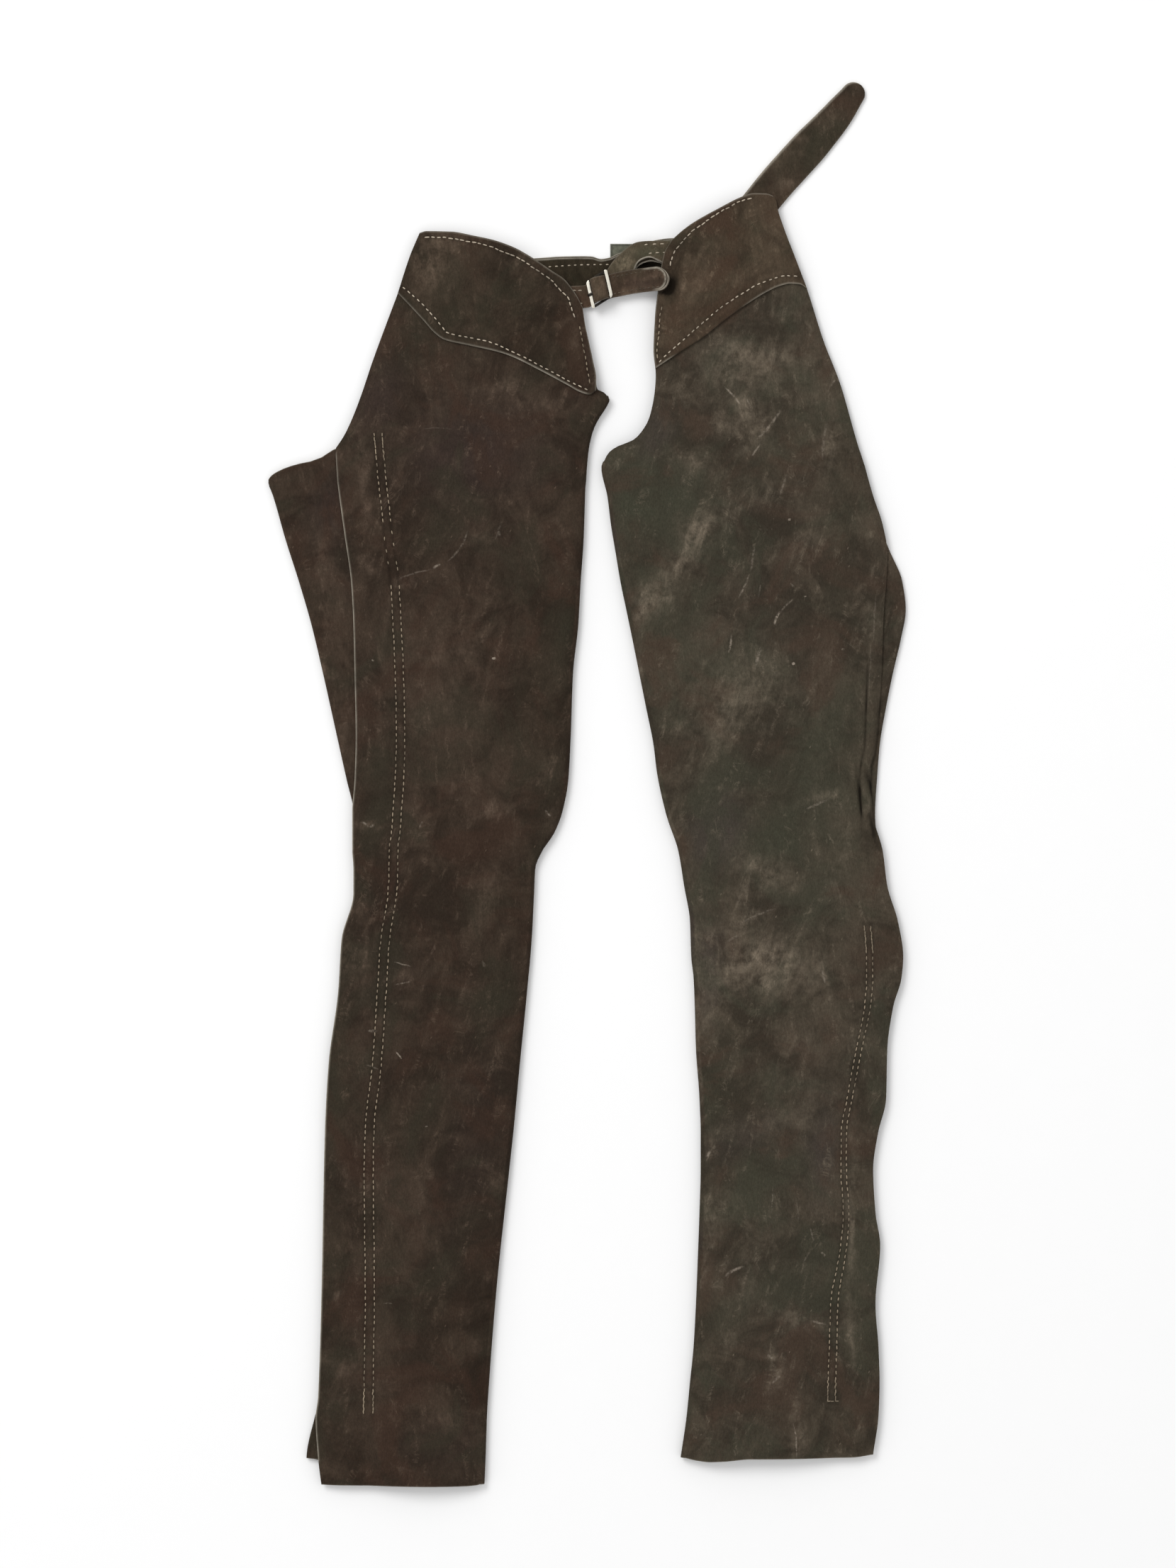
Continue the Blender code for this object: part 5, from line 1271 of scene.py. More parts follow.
class Nodes:
    """Short ways to add and link shader nodes."""

    def __init__(self, tree):
        self.tree = tree

    def add(self, kind, inputs=(), **settings):
        item = self.tree.nodes.new(kind)
        for key, value in settings.items():
            setattr(item, key, value)
        for key, value in inputs:
            if isinstance(value, bpy.types.NodeSocket):
                self.tree.links.new(value, item.inputs[key])
            else:
                item.inputs[key].default_value = value
        return item

    def math(self, operation, *values, clamp=False):
        item = self.add("ShaderNodeMath", list(enumerate(values)), operation=operation, use_clamp=clamp)
        return item.outputs[0]

    def vector(self, operation, a, b):
        item = self.add("ShaderNodeVectorMath", ((0, a), (1, b)), operation=operation)
        return item.outputs["Value" if operation == "DOT_PRODUCT" else "Vector"]

    def mix(self, share, a, b):
        item = self.add("ShaderNodeMix", ((0, share), (6, a), (7, b)), data_type="RGBA")
        return item.outputs[2]

    def noise(self, place, scale, detail=2.0, roughness=0.55, distortion=0.0):
        item = self.add("ShaderNodeTexNoise", (("Vector", place), ("Scale", scale), ("Detail", detail),
                                               ("Roughness", roughness), ("Distortion", distortion)))
        return item.outputs["Fac"]

    def steps(self, value, low, high, out_low=0.0, out_high=1.0):
        item = self.add("ShaderNodeMapRange", ((0, value), (1, low), (2, high), (3, out_low), (4, out_high)),
                        interpolation_type="SMOOTHSTEP")
        return item.outputs[0]

    def attribute(self, name):
        return self.add("ShaderNodeAttribute", attribute_name=name).outputs["Fac"]

    def patchy(self, name, pattern, steps, clamp=True):
        """An attribute of the mesh, broken up by a pattern."""
        return self.math("MULTIPLY", self.attribute(name), self.steps(pattern, *steps), clamp=clamp)

    def object_place(self):
        return self.add("ShaderNodeTexCoord").outputs["Object"]

    def stretched(self, place, scale):
        item = self.add("ShaderNodeMapping", (("Vector", place), ("Scale", scale)))
        return item.outputs["Vector"]

    def brushed(self, place, angle, length):
        """The place seen along a brush's way, so that marks come out long that way."""
        turn = (0.0, 0.0, math.radians(angle))
        item = self.add("ShaderNodeMapping",
                        (("Vector", place), ("Rotation", turn), ("Scale", (length, 1.0, 1.0))),
                        vector_type="TEXTURE")
        return item.outputs["Vector"]

    def between(self, share, a, b):
        return self.math("MULTIPLY_ADD", share, self.math("SUBTRACT", b, a), a)

    def wobbled(self, place, scale, reach):
        """The place shifted a little this way and that."""
        shift = self.add("ShaderNodeTexNoise", (("Vector", place), ("Scale", scale), ("Detail", 2.0)))
        shift = self.vector("MULTIPLY", shift.outputs["Color"], (reach * MM, reach * MM, 0.0))
        shift = self.vector("SUBTRACT", shift, (reach * MM / 2, reach * MM / 2, 0.0))
        return self.vector("ADD", place, shift)

    def specks(self, place):
        """A few small pale hairs and specks."""
        cells = self.add("ShaderNodeTexVoronoi", (("Vector", self.brushed(place, 62, 2.4)), ("Scale", 120.0)))
        chosen = self.steps(cells.outputs["Color"], 0.60, 0.64)
        return self.math("MULTIPLY", chosen, self.steps(cells.outputs["Distance"], 0.03, 0.08, 0.5, 0.0))

    def shade(self, **values):
        """Sets or links sockets of the material's shader, named with a _ for each space."""
        shader = self.tree.nodes["Principled BSDF"]
        for key, value in values.items():
            socket = shader.inputs[key.replace("_", " ")]
            if isinstance(value, bpy.types.NodeSocket):
                self.tree.links.new(value, socket)
            else:
                socket.default_value = value

    def relief(self, height, strength, distance, normal=None):
        inputs = [("Height", height), ("Strength", strength), ("Distance", distance * MM)]
        if normal:
            inputs.append(("Normal", normal))
        return self.add("ShaderNodeBump", inputs).outputs["Normal"]


def tinted(colour, tint):
    """A colour scaled by one number, or by one for each channel."""
    return [value * part for value, part in zip(colour, tint if isinstance(tint, tuple) else (tint,) * 3)]


def opaque(colour):
    return (*colour, 1.0)


def new_material(name):
    """A material, its nodes and the place in the object's own coordinates."""
    material = bpy.data.materials.new(name)
    material.use_nodes = True
    nodes = Nodes(material.node_tree)
    return material, nodes, nodes.object_place()


def scratch_group():
    """A node group: how much of one bowed scratch there is at a place on the plan."""
    tree = bpy.data.node_groups.new("Scratch", "ShaderNodeTree")
    for kind, labels in (("Vector", ("Place", "Middle", "Along", "Across")), ("Float", ("Bow", "Strength"))):
        for label in labels:
            tree.interface.new_socket(label, in_out="INPUT", socket_type="NodeSocket" + kind)
    tree.interface.new_socket("Amount", in_out="OUTPUT", socket_type="NodeSocketFloat")
    nodes = Nodes(tree)
    given = nodes.add("NodeGroupInput").outputs
    away = nodes.vector("SUBTRACT", given["Place"], given["Middle"])
    along = nodes.vector("DOT_PRODUCT", away, given["Along"])
    across = nodes.vector("DOT_PRODUCT", away, given["Across"])
    along_square = nodes.math("MULTIPLY", along, along)
    bowed = nodes.math("MULTIPLY_ADD", given["Bow"], along_square, across)
    bowed = nodes.math("SUBTRACT", bowed, given["Bow"])
    spread = nodes.math("MULTIPLY", along_square, along_square)
    spread = nodes.math("MULTIPLY_ADD", bowed, bowed, spread)
    kept = nodes.math("SUBTRACT", 1.0, spread, clamp=True)
    amount = nodes.math("MULTIPLY", kept, given["Strength"])
    nodes.add("NodeGroupOutput", (("Amount", amount),))
    return tree


def scratch_amount(nodes, place, scratches):
    """All the scratches of a leg together."""
    group = bpy.data.node_groups.get("Scratch") or scratch_group()
    total = None
    for scratch in scratches:
        start, end = Vector((scratch.x, scratch.y)), Vector((scratch.end_x, scratch.end_y))
        half, width = (max((end - start).length / 2, scratch.width) + 0.3) * MM, scratch.width * MM
        ahead = (end - start).normalized()
        middle = (start + end) / 2 * MM
        item = nodes.add("ShaderNodeGroup", node_tree=group)
        nodes.tree.links.new(place, item.inputs["Place"])
        for label, value in (("Middle", (*middle, 0.0)), ("Along", (ahead.x / half, ahead.y / half, 0.0)),
                             ("Across", (-ahead.y / width, ahead.x / width, 0.0)),
                             ("Bow", scratch.bow / scratch.width), ("Strength", scratch.strength)):
            item.inputs[label].default_value = value
        amount = item.outputs["Amount"]
        total = amount if total is None else nodes.math("MAXIMUM", total, amount)
    return total


def suede_material(name, base, scratches=()):
    """Suede: mottled and brushed, with stains, rubbed patches, scratches, pale raw edges, painted shade in
    seams, creases, folds and gaps, and a few painted highlights among the pale patches.
    """
    settings = bpy.context.scene.chaps_settings
    dark, light = tinted(base, 0.56), tinted(base, 1.12)
    tones = {tone: opaque(tinted(base, tint)) for tone, tint in TONE_TINTS.items()}
    material, nodes, place = new_material(name)
    broad = nodes.noise(place, 7.0, 3.0, 0.55, 0.6)
    middle = nodes.noise(place, 30.0, 5.0, 0.64, 0.9)
    small = nodes.noise(place, 150.0, 4.0, 0.65, 0.3)
    upward = nodes.noise(nodes.brushed(place, 72, 4.0), 120.0, 4.0, 0.64, 0.8)
    downward = nodes.noise(nodes.brushed(place, 96, 3.4), 135.0, 4.0, 0.64, 0.8)
    strokes = nodes.between(nodes.steps(broad, 0.44, 0.56), upward, downward)
    fine = nodes.noise(nodes.stretched(place, (1.0, 0.4, 1.0)), 900.0, 3.0, 0.65)
    grain = nodes.noise(place, 2200.0, 2.0, 0.6)

    # Base colour: a dark and light mottle, then the stains and a slow drift between olive and red
    mottled = nodes.math("MULTIPLY_ADD", middle, 0.50, nodes.math("MULTIPLY", broad, 0.34))
    mottled = nodes.math("MULTIPLY_ADD", strokes, 0.16, mottled)
    colour = nodes.mix(nodes.steps(mottled, 0.40, 0.60), opaque(dark), opaque(light))
    colour = nodes.mix(nodes.patchy("olive", middle, (0.2, 0.7, 0.5, 1.2)), colour, tones["olive"])
    colour = nodes.mix(nodes.patchy("violet", broad, (0.2, 0.7, 0.6, 1.0)), colour, tones["violet"])
    drift = nodes.noise(place, 15.0, 4.0, 0.62, 0.7)
    colour = nodes.mix(nodes.steps(drift, 0.50, 0.66, 0.0, 0.65), colour, tones["olive"])
    colour = nodes.mix(nodes.steps(drift, 0.34, 0.50, 0.65, 0.0), colour, tones["red"])

    # Worn places: the pale stains, a few of them painted highlights on ridges, a little wear everywhere, thin
    # veins and specks
    blotches = nodes.math("MULTIPLY_ADD", small, 0.38, nodes.math("MULTIPLY", middle, 0.28))
    blotches = nodes.math("MULTIPLY_ADD", strokes, 0.34, blotches)
    rubbed_and_highlit = nodes.patchy("pale", blotches, (0.40, 0.62, 0.12, 1.3), clamp=False)
    everywhere = nodes.steps(blotches, 0.53, 0.68, 0.0, 0.19)
    veins = nodes.noise(place, 42.0, 5.0, 0.62, 1.8)
    veins = nodes.steps(nodes.math("ABSOLUTE", nodes.math("SUBTRACT", veins, 0.5)), 0.004, 0.035, 1.0, 0.0)
    veins = nodes.math("MULTIPLY", veins, nodes.steps(strokes, 0.5, 0.68, 0.0, 0.3))
    worn = nodes.math("ADD", nodes.math("MULTIPLY_ADD", rubbed_and_highlit, 0.62, everywhere), veins, clamp=True)
    colour = nodes.mix(worn, colour, tones["pale"])
    colour = nodes.mix(nodes.specks(place), colour, tones["pale"])

    if scratches:
        wobble = nodes.wobbled(place, 95.0, 2.4)
        scratch = nodes.math("POWER", scratch_amount(nodes, wobble, scratches), 1.4)
        scratch = nodes.math("MULTIPLY", scratch, nodes.attribute("front"))
        broken = nodes.steps(nodes.noise(place, 420.0, 3.0, 0.6), 0.36, 0.6, 0.08, 0.72)
        scratch = nodes.math("MULTIPLY", scratch, broken, clamp=True)
        colour = nodes.mix(scratch, colour, opaque(SCRATCH_COLOUR))

    # Nap, painted shade (in seams, creases, folds and gaps, and the dark tone) and pale raw edges lie over
    # all of these
    nap = nodes.math("MULTIPLY_ADD", fine, 0.6, nodes.math("MULTIPLY", grain, 0.4))
    value = nodes.steps(nap, 0.3, 0.7, 0.78, 1.22)
    shade = nodes.add("ShaderNodeHueSaturation", (("Color", colour), ("Value", value))).outputs["Color"]
    painted_shade = nodes.math("MULTIPLY_ADD", nodes.attribute("seam"), 0.8, nodes.attribute("dark"), clamp=True)
    colour = nodes.mix(painted_shade, shade, opaque(tinted(dark, 0.3)))
    raw = nodes.patchy("raw", blotches, (0.3, 0.62, 0.45, 1.05))
    colour = nodes.mix(raw, colour, opaque(settings.raw_edge))

    creases = nodes.relief(nodes.noise(place, 75.0, 5.0, 0.6, 0.8), 0.55, 1.6 * settings.wrinkle_height)
    soft = nodes.relief(small, 0.5, 0.5 * settings.nap_height, creases)
    normal = nodes.relief(nap, 0.6, 0.35 * settings.nap_height, soft)
    nodes.shade(Base_Color=colour, Roughness=nodes.steps(nap, 0.3, 0.7, 0.98, 0.88), Normal=normal,
                Specular_IOR_Level=0.05, Sheen_Weight=0.06, Sheen_Roughness=0.5,
                Sheen_Tint=opaque(SHEEN_COLOUR))
    return material


def thread_material(name, colour):
    """Waxed thread, a little worn and dusty along its rows."""
    material, nodes, place = new_material(name)
    worn = nodes.noise(place, 60.0, 3.0, 0.6)
    strands = nodes.noise(place, 1800.0, 2.0, 0.6)
    tone = nodes.mix(nodes.steps(worn, 0.3, 0.62), opaque(tinted(colour, 0.45)), opaque(colour))
    tone = nodes.mix(nodes.steps(strands, 0.35, 0.7, 0.0, 0.35), tone, opaque(tinted(colour, 0.5)))
    nodes.shade(Base_Color=tone, Roughness=0.75, Specular_IOR_Level=0.25,
                Normal=nodes.relief(strands, 0.6, 0.12))
    return material


def nickel_material(name, colour):
    """Nickel plate with fine scratches, smudges and a warm dulling."""
    material, nodes, place = new_material(name)
    smudge = nodes.noise(place, 220.0, 4.0, 0.6)
    hairlines = nodes.noise(nodes.stretched(place, (1.0, 9.0, 1.0)), 900.0, 2.0, 0.6)
    tone = nodes.mix(nodes.steps(smudge, 0.4, 0.75), opaque(colour), opaque(tinted(colour, 0.72)))
    rough = nodes.math("MULTIPLY_ADD", smudge, 0.3, 0.22)
    nodes.shade(Base_Color=tone, Metallic=1.0, Roughness=rough, Normal=nodes.relief(hairlines, 0.25, 0.05))
    return material


def woven_material(name, colour, light, pitch):
    """Close weave: warp and weft that pass over each other."""
    material, nodes, place = new_material(name)
    turns = math.pi / (pitch * MM)
    parts = nodes.add("ShaderNodeSeparateXYZ", ((0, place),)).outputs
    across = nodes.math("SINE", nodes.math("MULTIPLY", parts["X"], turns))
    along = nodes.math("SINE", nodes.math("MULTIPLY", parts["Y"], turns))
    weave = nodes.math("MULTIPLY_ADD", nodes.math("MULTIPLY", across, along), 0.5, 0.5)
    uneven = nodes.noise(place, 320.0, 3.0, 0.6)
    tone = nodes.mix(nodes.math("MULTIPLY", weave, nodes.steps(uneven, 0.2, 0.7, 0.3, 1.0)), opaque(colour),
                     opaque(light))
    nodes.shade(Base_Color=tone, Roughness=0.85, Specular_IOR_Level=0.2, Normal=nodes.relief(weave, 0.7, 0.2))
    return material


def floor_material(name, colour, roughness):
    """The floor: very slightly mottled, with a faint glow that keeps it from greying at the rim."""
    material, nodes, place = new_material(name)
    mottle = nodes.noise(place, 40.0, 4.0, 0.6)
    tone = nodes.mix(nodes.steps(mottle, 0.3, 0.7, 0.0, 0.04), opaque(colour), opaque(tinted(colour, 0.9)))
    nodes.shade(Base_Color=tone, Roughness=roughness, Specular_IOR_Level=0.1,
                Emission_Color=opaque((1.0, 1.0, 1.0)), Emission_Strength=FLOOR_GLOW)
    return material


def material_named(name):
    """One of the chaps' materials, made the first time that it is asked for."""
    full = "chaps_" + name
    known = bpy.data.materials.get(full)
    if known:
        return known
    settings = bpy.context.scene.chaps_settings
    if name in SUEDE_TINTS:
        base, tint = SUEDE_TINTS[name]
        return suede_material(full, tinted(getattr(settings, base), tint))
    if name in WEAVES:
        return woven_material(full, *WEAVES[name])
    makers = {
        "suede_right": lambda: suede_material(full, settings.suede_brown, RIGHT_SCRATCHES),
        "suede_left": lambda: suede_material(full, settings.suede_olive, LEFT_SCRATCHES),
        "thread": lambda: thread_material(full, settings.thread),
        "zip_thread": lambda: thread_material(full, settings.zip_thread),
        "tongue_thread": lambda: thread_material(full, tinted(settings.zip_thread, TONGUE_THREAD_SHADE)),
        "nickel": lambda: nickel_material(full, settings.nickel),
        # The dark steel paints the buckle's rails and the prong in shade
        "old_steel": lambda: nickel_material(full, SHADED_STEEL_COLOUR),
        "floor": lambda: floor_material(full, settings.floor, 0.9),
    }
    return makers[name]()


def right_form():
    return LegForm(RIGHT_LEG, RIGHT_WRINKLES, RIGHT_ZIP_ROWS, crease=None, stained=RIGHT_STAINS_AND_PAINTED_LIGHT,
                   flap_raw=1.15, flap_shadow=NO_FLAP_SHADOW, hem_wave=RIGHT_HEM_WAVE, seed=11.0)


def left_form():
    return LegForm(LEFT_LEG, LEFT_WRINKLES, LEFT_ZIP_ROWS, crease=LEFT_CREASE, stained=LEFT_STAINS_AND_PAINTED_LIGHT,
                   flap_raw=0.0, flap_shadow=LEFT_FLAP_SHADOW, hem_wave=LEFT_HEM_WAVE, seed=37.0)


SIDES = (("right", right_form, "suede_brown", RIGHT_YOKE_ROWS),
         ("left", left_form, "suede_olive", LEFT_YOKE_ROWS))


def finish_piece(item, slot, *nodes):
    """Ties a piece to the frame and, where it stands for CAD nodes, takes their place."""
    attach(item, "root")
    if nodes:
        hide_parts(*nodes)
    return item


COLOUR = {"subtype": "COLOR", "size": 3, "min": 0.0, "max": 1.0}


class ChapsSettings(bpy.types.PropertyGroup):
    suede_brown: FloatVectorProperty(name="Right leg", description="Suede of the right leg, belt, billet and"
                                     " tongue", default=(0.0430, 0.0298, 0.0208), **COLOUR)
    suede_olive: FloatVectorProperty(name="Left leg", description="Suede of the left leg and the chape",
                                     default=(0.058, 0.046, 0.0325), **COLOUR)
    raw_edge: FloatVectorProperty(name="Raw edge", description="Pale core of the leather where it is cut",
                                  default=(0.30, 0.27, 0.22), **COLOUR)
    thread: FloatVectorProperty(name="Thread", description="Thread of the yokes and straps",
                                default=(0.52, 0.44, 0.34), **COLOUR)
    zip_thread: FloatVectorProperty(name="Zip thread", description="Thread of the rows along the zips",
                                    default=(0.34, 0.27, 0.19), **COLOUR)
    nickel: FloatVectorProperty(name="Nickel", description="Plating of the buckle, the slide and the zips",
                                default=(0.82, 0.78, 0.68), **COLOUR)
    floor: FloatVectorProperty(name="Floor", description="Colour of the floor",
                               default=(0.90, 0.90, 0.90), **COLOUR)
    wrinkle_height: FloatProperty(name="Wrinkles", description="Height of the small wrinkles, 1 as modelled",
                                  min=0.0, max=2.0, default=1.0)
    nap_height: FloatProperty(name="Nap", description="Depth of the suede's nap, 1 as modelled",
                              min=0.0, max=3.0, default=1.0)
    stitch_length: FloatProperty(name="Stitch length", description="Length of a stitch in millimetres",
                                 min=1.5, max=6.0, default=3.8)
    stitch_width: FloatProperty(name="Thread width", description="Width of the thread in millimetres",
                                min=0.3, max=1.5, default=1.1)
    yoke_pitch: FloatProperty(name="Yoke pitch", description="Distance between stitches on the yokes and"
                              " straps in millimetres", min=2.5, max=8.0, default=5.3)
    zip_pitch: FloatProperty(name="Zip pitch", description="Distance between stitches along the zips in"
                             " millimetres", min=2.5, max=8.0, default=5.2)
    key_power: FloatProperty(name="Key light", description="Power of the large soft light", unit="POWER",
                             min=0.0, default=150.0)
    fill_strength: FloatProperty(name="Fill", description="Strength of the light from all round",
                                 min=0.0, default=0.78)


class CHAPS_OT_legs(bpy.types.Operator):
    """Makes the two legs, each one hide that wraps round from its flap to the turned-up edge of its back"""
    bl_idname = "chaps.legs"
    bl_label = "Legs"

    def execute(self, context):
        for side, form, slot, _ in SIDES:
            shape = form()
            item = sheet_object(side + "_leg_hide", leg_grids(shape), HIDE, "suede_" + side, shape.stained)
            # Nothing of a leg reaches below the floor that it lies on
            for vertex in item.data.vertices:
                vertex.co.z = max(vertex.co.z, 0.0)
            finish_piece(item, slot, side + "_leg")
        return {"FINISHED"}


class CHAPS_OT_yokes(bpy.types.Operator):
    """Makes the shaped hip pieces that lie on the fronts"""
    bl_idname = "chaps.yokes"
    bl_label = "Yokes"

    def execute(self, context):
        for side, form, slot, rows in SIDES:
            shape = form()
            item = sheet_object(side + "_yoke_hide", [yoke_grid(shape, rows)], YOKE_HIDE, "yoke_" + side,
                                shape.stained, edge=0.4)
            finish_piece(item, slot, side + "_yoke")
        return {"FINISHED"}


class CHAPS_OT_zips(bpy.types.Operator):
    """Makes the zips under the flaps: tape, teeth and slider"""
    bl_idname = "chaps.zips"
    bl_label = "Zips"

    def execute(self, context):
        bpy.ops.mesh.primitive_cube_add(size=1)
        tooth = take_primitive("tooth", "nickel", TOOTH_SIZE)
        with editing(tooth, "VERT", lambda p: p.x > 0):
            bpy.ops.transform.resize(value=(1.0, 0.7, 0.8))
            bpy.ops.mesh.select_all(action="SELECT")
            bpy.ops.mesh.bevel(offset=0.2 * MM, segments=1)
        for side, form, _, _ in SIDES:
            shape = form()
            low, high = shape.leg.zip_span
            tape = sheet_object(side + "_zip_tape", [zip_tape_grid(shape)], TAPE_THICKNESS, "zip_tape",
                                edge=0.15)
            places = []
            for index in range(int((high - low - 16) / (TOOTH_PITCH / 2))):
                y = low + 12 + index * TOOTH_PITCH / 2
                x = blend(shape.zip(y), shape.flap(y), CHAIN_SHARE)
                turned = index % 2
                aside = TOOTH_ASIDE if turned else -TOOTH_ASIDE
                places.append((x + aside, y, TEETH_Z, math.pi * turned, 0.0, 1.0))
            teeth = finish_piece(place_copies(tooth, places, side + "_zip_teeth"), "zip_tape")
            slider = finish_piece(zip_slider(side, shape, low + 16), "nickel")
            finish_piece(tape, "zip_tape", side + "_zip")
        remove_piece(tooth)
        return {"FINISHED"}


def zip_slider(side, form, y):
    """The slider at the lower end of a zip, its pull laid down the tape."""
    x = blend(form.zip(y), form.flap(y), CHAIN_SHARE)
    bpy.ops.mesh.primitive_cube_add(size=1)
    body = take_primitive(side + "_zip_slider", "nickel", SLIDER_SIZE)
    with editing(body, "VERT", lambda p: p.y < 0):
        bpy.ops.transform.resize(value=(0.62, 1.0, 1.0))
    with editing(body, "FACE", lambda p: p.z > 1.0):
        bpy.ops.mesh.inset(thickness=1.4 * MM)
        bpy.ops.mesh.extrude_region_move(TRANSFORM_OT_translate={"value": (0.0, 0.0, 0.4 * MM)})
    round_edges(body, 0.4, 2, angle=35)
    put(body, (x, y, SLIDER_Z))

    half, low, high = PULL_WINDOW
    bpy.ops.mesh.primitive_plane_add(size=1)
    pull = take_primitive(side + "_zip_pull", "nickel", PULL_SIZE)
    with editing(pull):
        cut_across(1, low, high)
        cut_across(0, -half, half)
    with editing(pull, "FACE", lambda p: abs(p.x) < half and low < p.y < high):
        bpy.ops.mesh.delete(type="FACE")
    with editing(pull, "VERT", lambda p: abs(p.x) > 2.4 and abs(p.y) > 9.9):
        bpy.ops.mesh.bevel(offset=1.6 * MM, segments=4, affect="VERTICES")
    thicken(pull, PULL_THICKNESS)
    round_edges(pull, 0.2, 2, angle=35)
    put(pull, (x, y + PULL_REACH, PULL_Z))
    select_only(body, pull)
    bpy.ops.object.join()
    smooth(bpy.context.object, 40)
    return bpy.context.object


class CHAPS_OT_belt(bpy.types.Operator):
    """Makes the waist belt with the slide at its hidden end, the billet and the woven label"""
    bl_idname = "chaps.belt"
    bl_label = "Belt and billet"

    def execute(self, context):
        path = PlanPath(BILLET_PATH)
        tip = rounded_end(path.length, BILLET_TIP)
        width = list(BILLET_WIDTH) + [(path.length - BILLET_TIP / 2, BILLET_TIP)] + tip
        distances = [step * 2.0 for step in range(int(tip[0][0] / 2.0))] + [row[0] for row in tip]
        profile = [(distance, BILLET_HIDE / 2 + max(0.35 * wave(distance, 0, 30, 4.4), 0.0))
                   for distance in distances]
        grid = strap_grid(path, profile, width, raw_sides=(0.2, 1.0), raw_ends=(0.0, 0.3),
                          raw_widths=(0.9, 2.6))
        item = sheet_object("billet_hide", [grid], BILLET_HIDE, "suede_billet", BILLET_STAINS, edge=0.5)
        finish_piece(item, "suede_olive", "billet")

        path = PlanPath(BELT_PATH)
        profile, bar = belt_profile(path)
        lower_from = next(index for index, (_, height) in enumerate(profile)
                          if index > len(profile) / 2 and height < 1.5)
        edge = SmoothCurve(BELT_EDGE)

        def proud(index, distance):
            """The upper edge runs unevenly, and the lower ply stands out a little past the upper one."""
            return edge(distance) + 1.5 * smooth_step(lower_from, lower_from + 20, index)

        grid = strap_grid(path, profile, ((0, BELT_WIDTH), (1, BELT_WIDTH)), proud=proud,
                          raw_sides=(0.9, 1.0), raw_ends=(0.5, 0.5), raw_widths=(0.9, 1.3))
        item = sheet_object("waist_belt_hide", [grid], BELT_PLY, "suede_belt", BELT_STAINS_AND_PAINTED_SHADE, edge=0.3)
        finish_piece(item, "suede_brown", "waist_belt")

        slide = centre_bar_frame("belt_slide_frame", SLIDE, "nickel", round_over=0.9)
        point, ahead = path.frame(bar)
        centre = point + ahead * (SLIDE.length - SLIDE.end_bar) / 2
        put(slide, (centre.x, centre.y, SLIDE_Z), math.atan2(ahead.y, ahead.x))
        finish_piece(slide, "nickel", "belt_slide")
        finish_piece(label_piece(), "label_weave", "label")
        return {"FINISHED"}


def belt_profile(path):
    """The belt's two plies folded round the end bar of the slide, and the place of that bar."""
    bar = path.length - SLIDE.end_bar - 2.0
    lower, upper = BELT_PLY / 2, BELT_PLY * 1.5 + 0.2
    loop = math.hypot(SLIDE.end_bar, SLIDE.thickness) / 2 + SEAM_GAP + BELT_PLY / 2
    rise = SmoothCurve(LABEL_RISE)
    profile = [(stop, upper + rise(stop)) for stop in BELT_STOPS if stop < bar - 6]
    profile += [(bar - 4.5, upper + 0.5), (bar - 2.8, upper + 1.9)]
    for step in range(6):
        turn = math.radians(125 - 215 * step / 6)
        profile.append((bar + loop * math.cos(turn), SLIDE_Z + loop * math.sin(turn)))
    profile.append((bar, lower))
    profile += [(stop, lower + rise(stop)) for stop in reversed(BELT_STOPS) if stop < bar - 3]
    return refined(profile, 1.6), bar


def label_piece():
    """A woven rectangle, left bare inside its border."""
    bpy.ops.mesh.primitive_cube_add(size=1)
    label = take_primitive("label_patch", "label_weave", LABEL_SIZE)
    label.data.materials.append(material_named("label_border"))
    top = LABEL_SIZE[2] / 2 - 0.01
    with editing(label, "FACE", lambda p: p.z > top):
        bpy.ops.mesh.inset(thickness=LABEL_MARGIN * MM)
        bpy.ops.mesh.inset(thickness=LABEL_BORDER * MM)
        bpy.ops.mesh.select_more()
        label.active_material_index = 1
        bpy.ops.object.material_slot_assign()
    with editing(label, "FACE", lambda p: p.z > top and abs(p.x) < 0.1 and abs(p.y) < 0.1):
        label.active_material_index = 0
        bpy.ops.object.material_slot_assign()
    round_edges(label, 0.15, 2)
    put(label, (*LABEL_CENTRE, LABEL_SIZE[2] / 2))
    return label


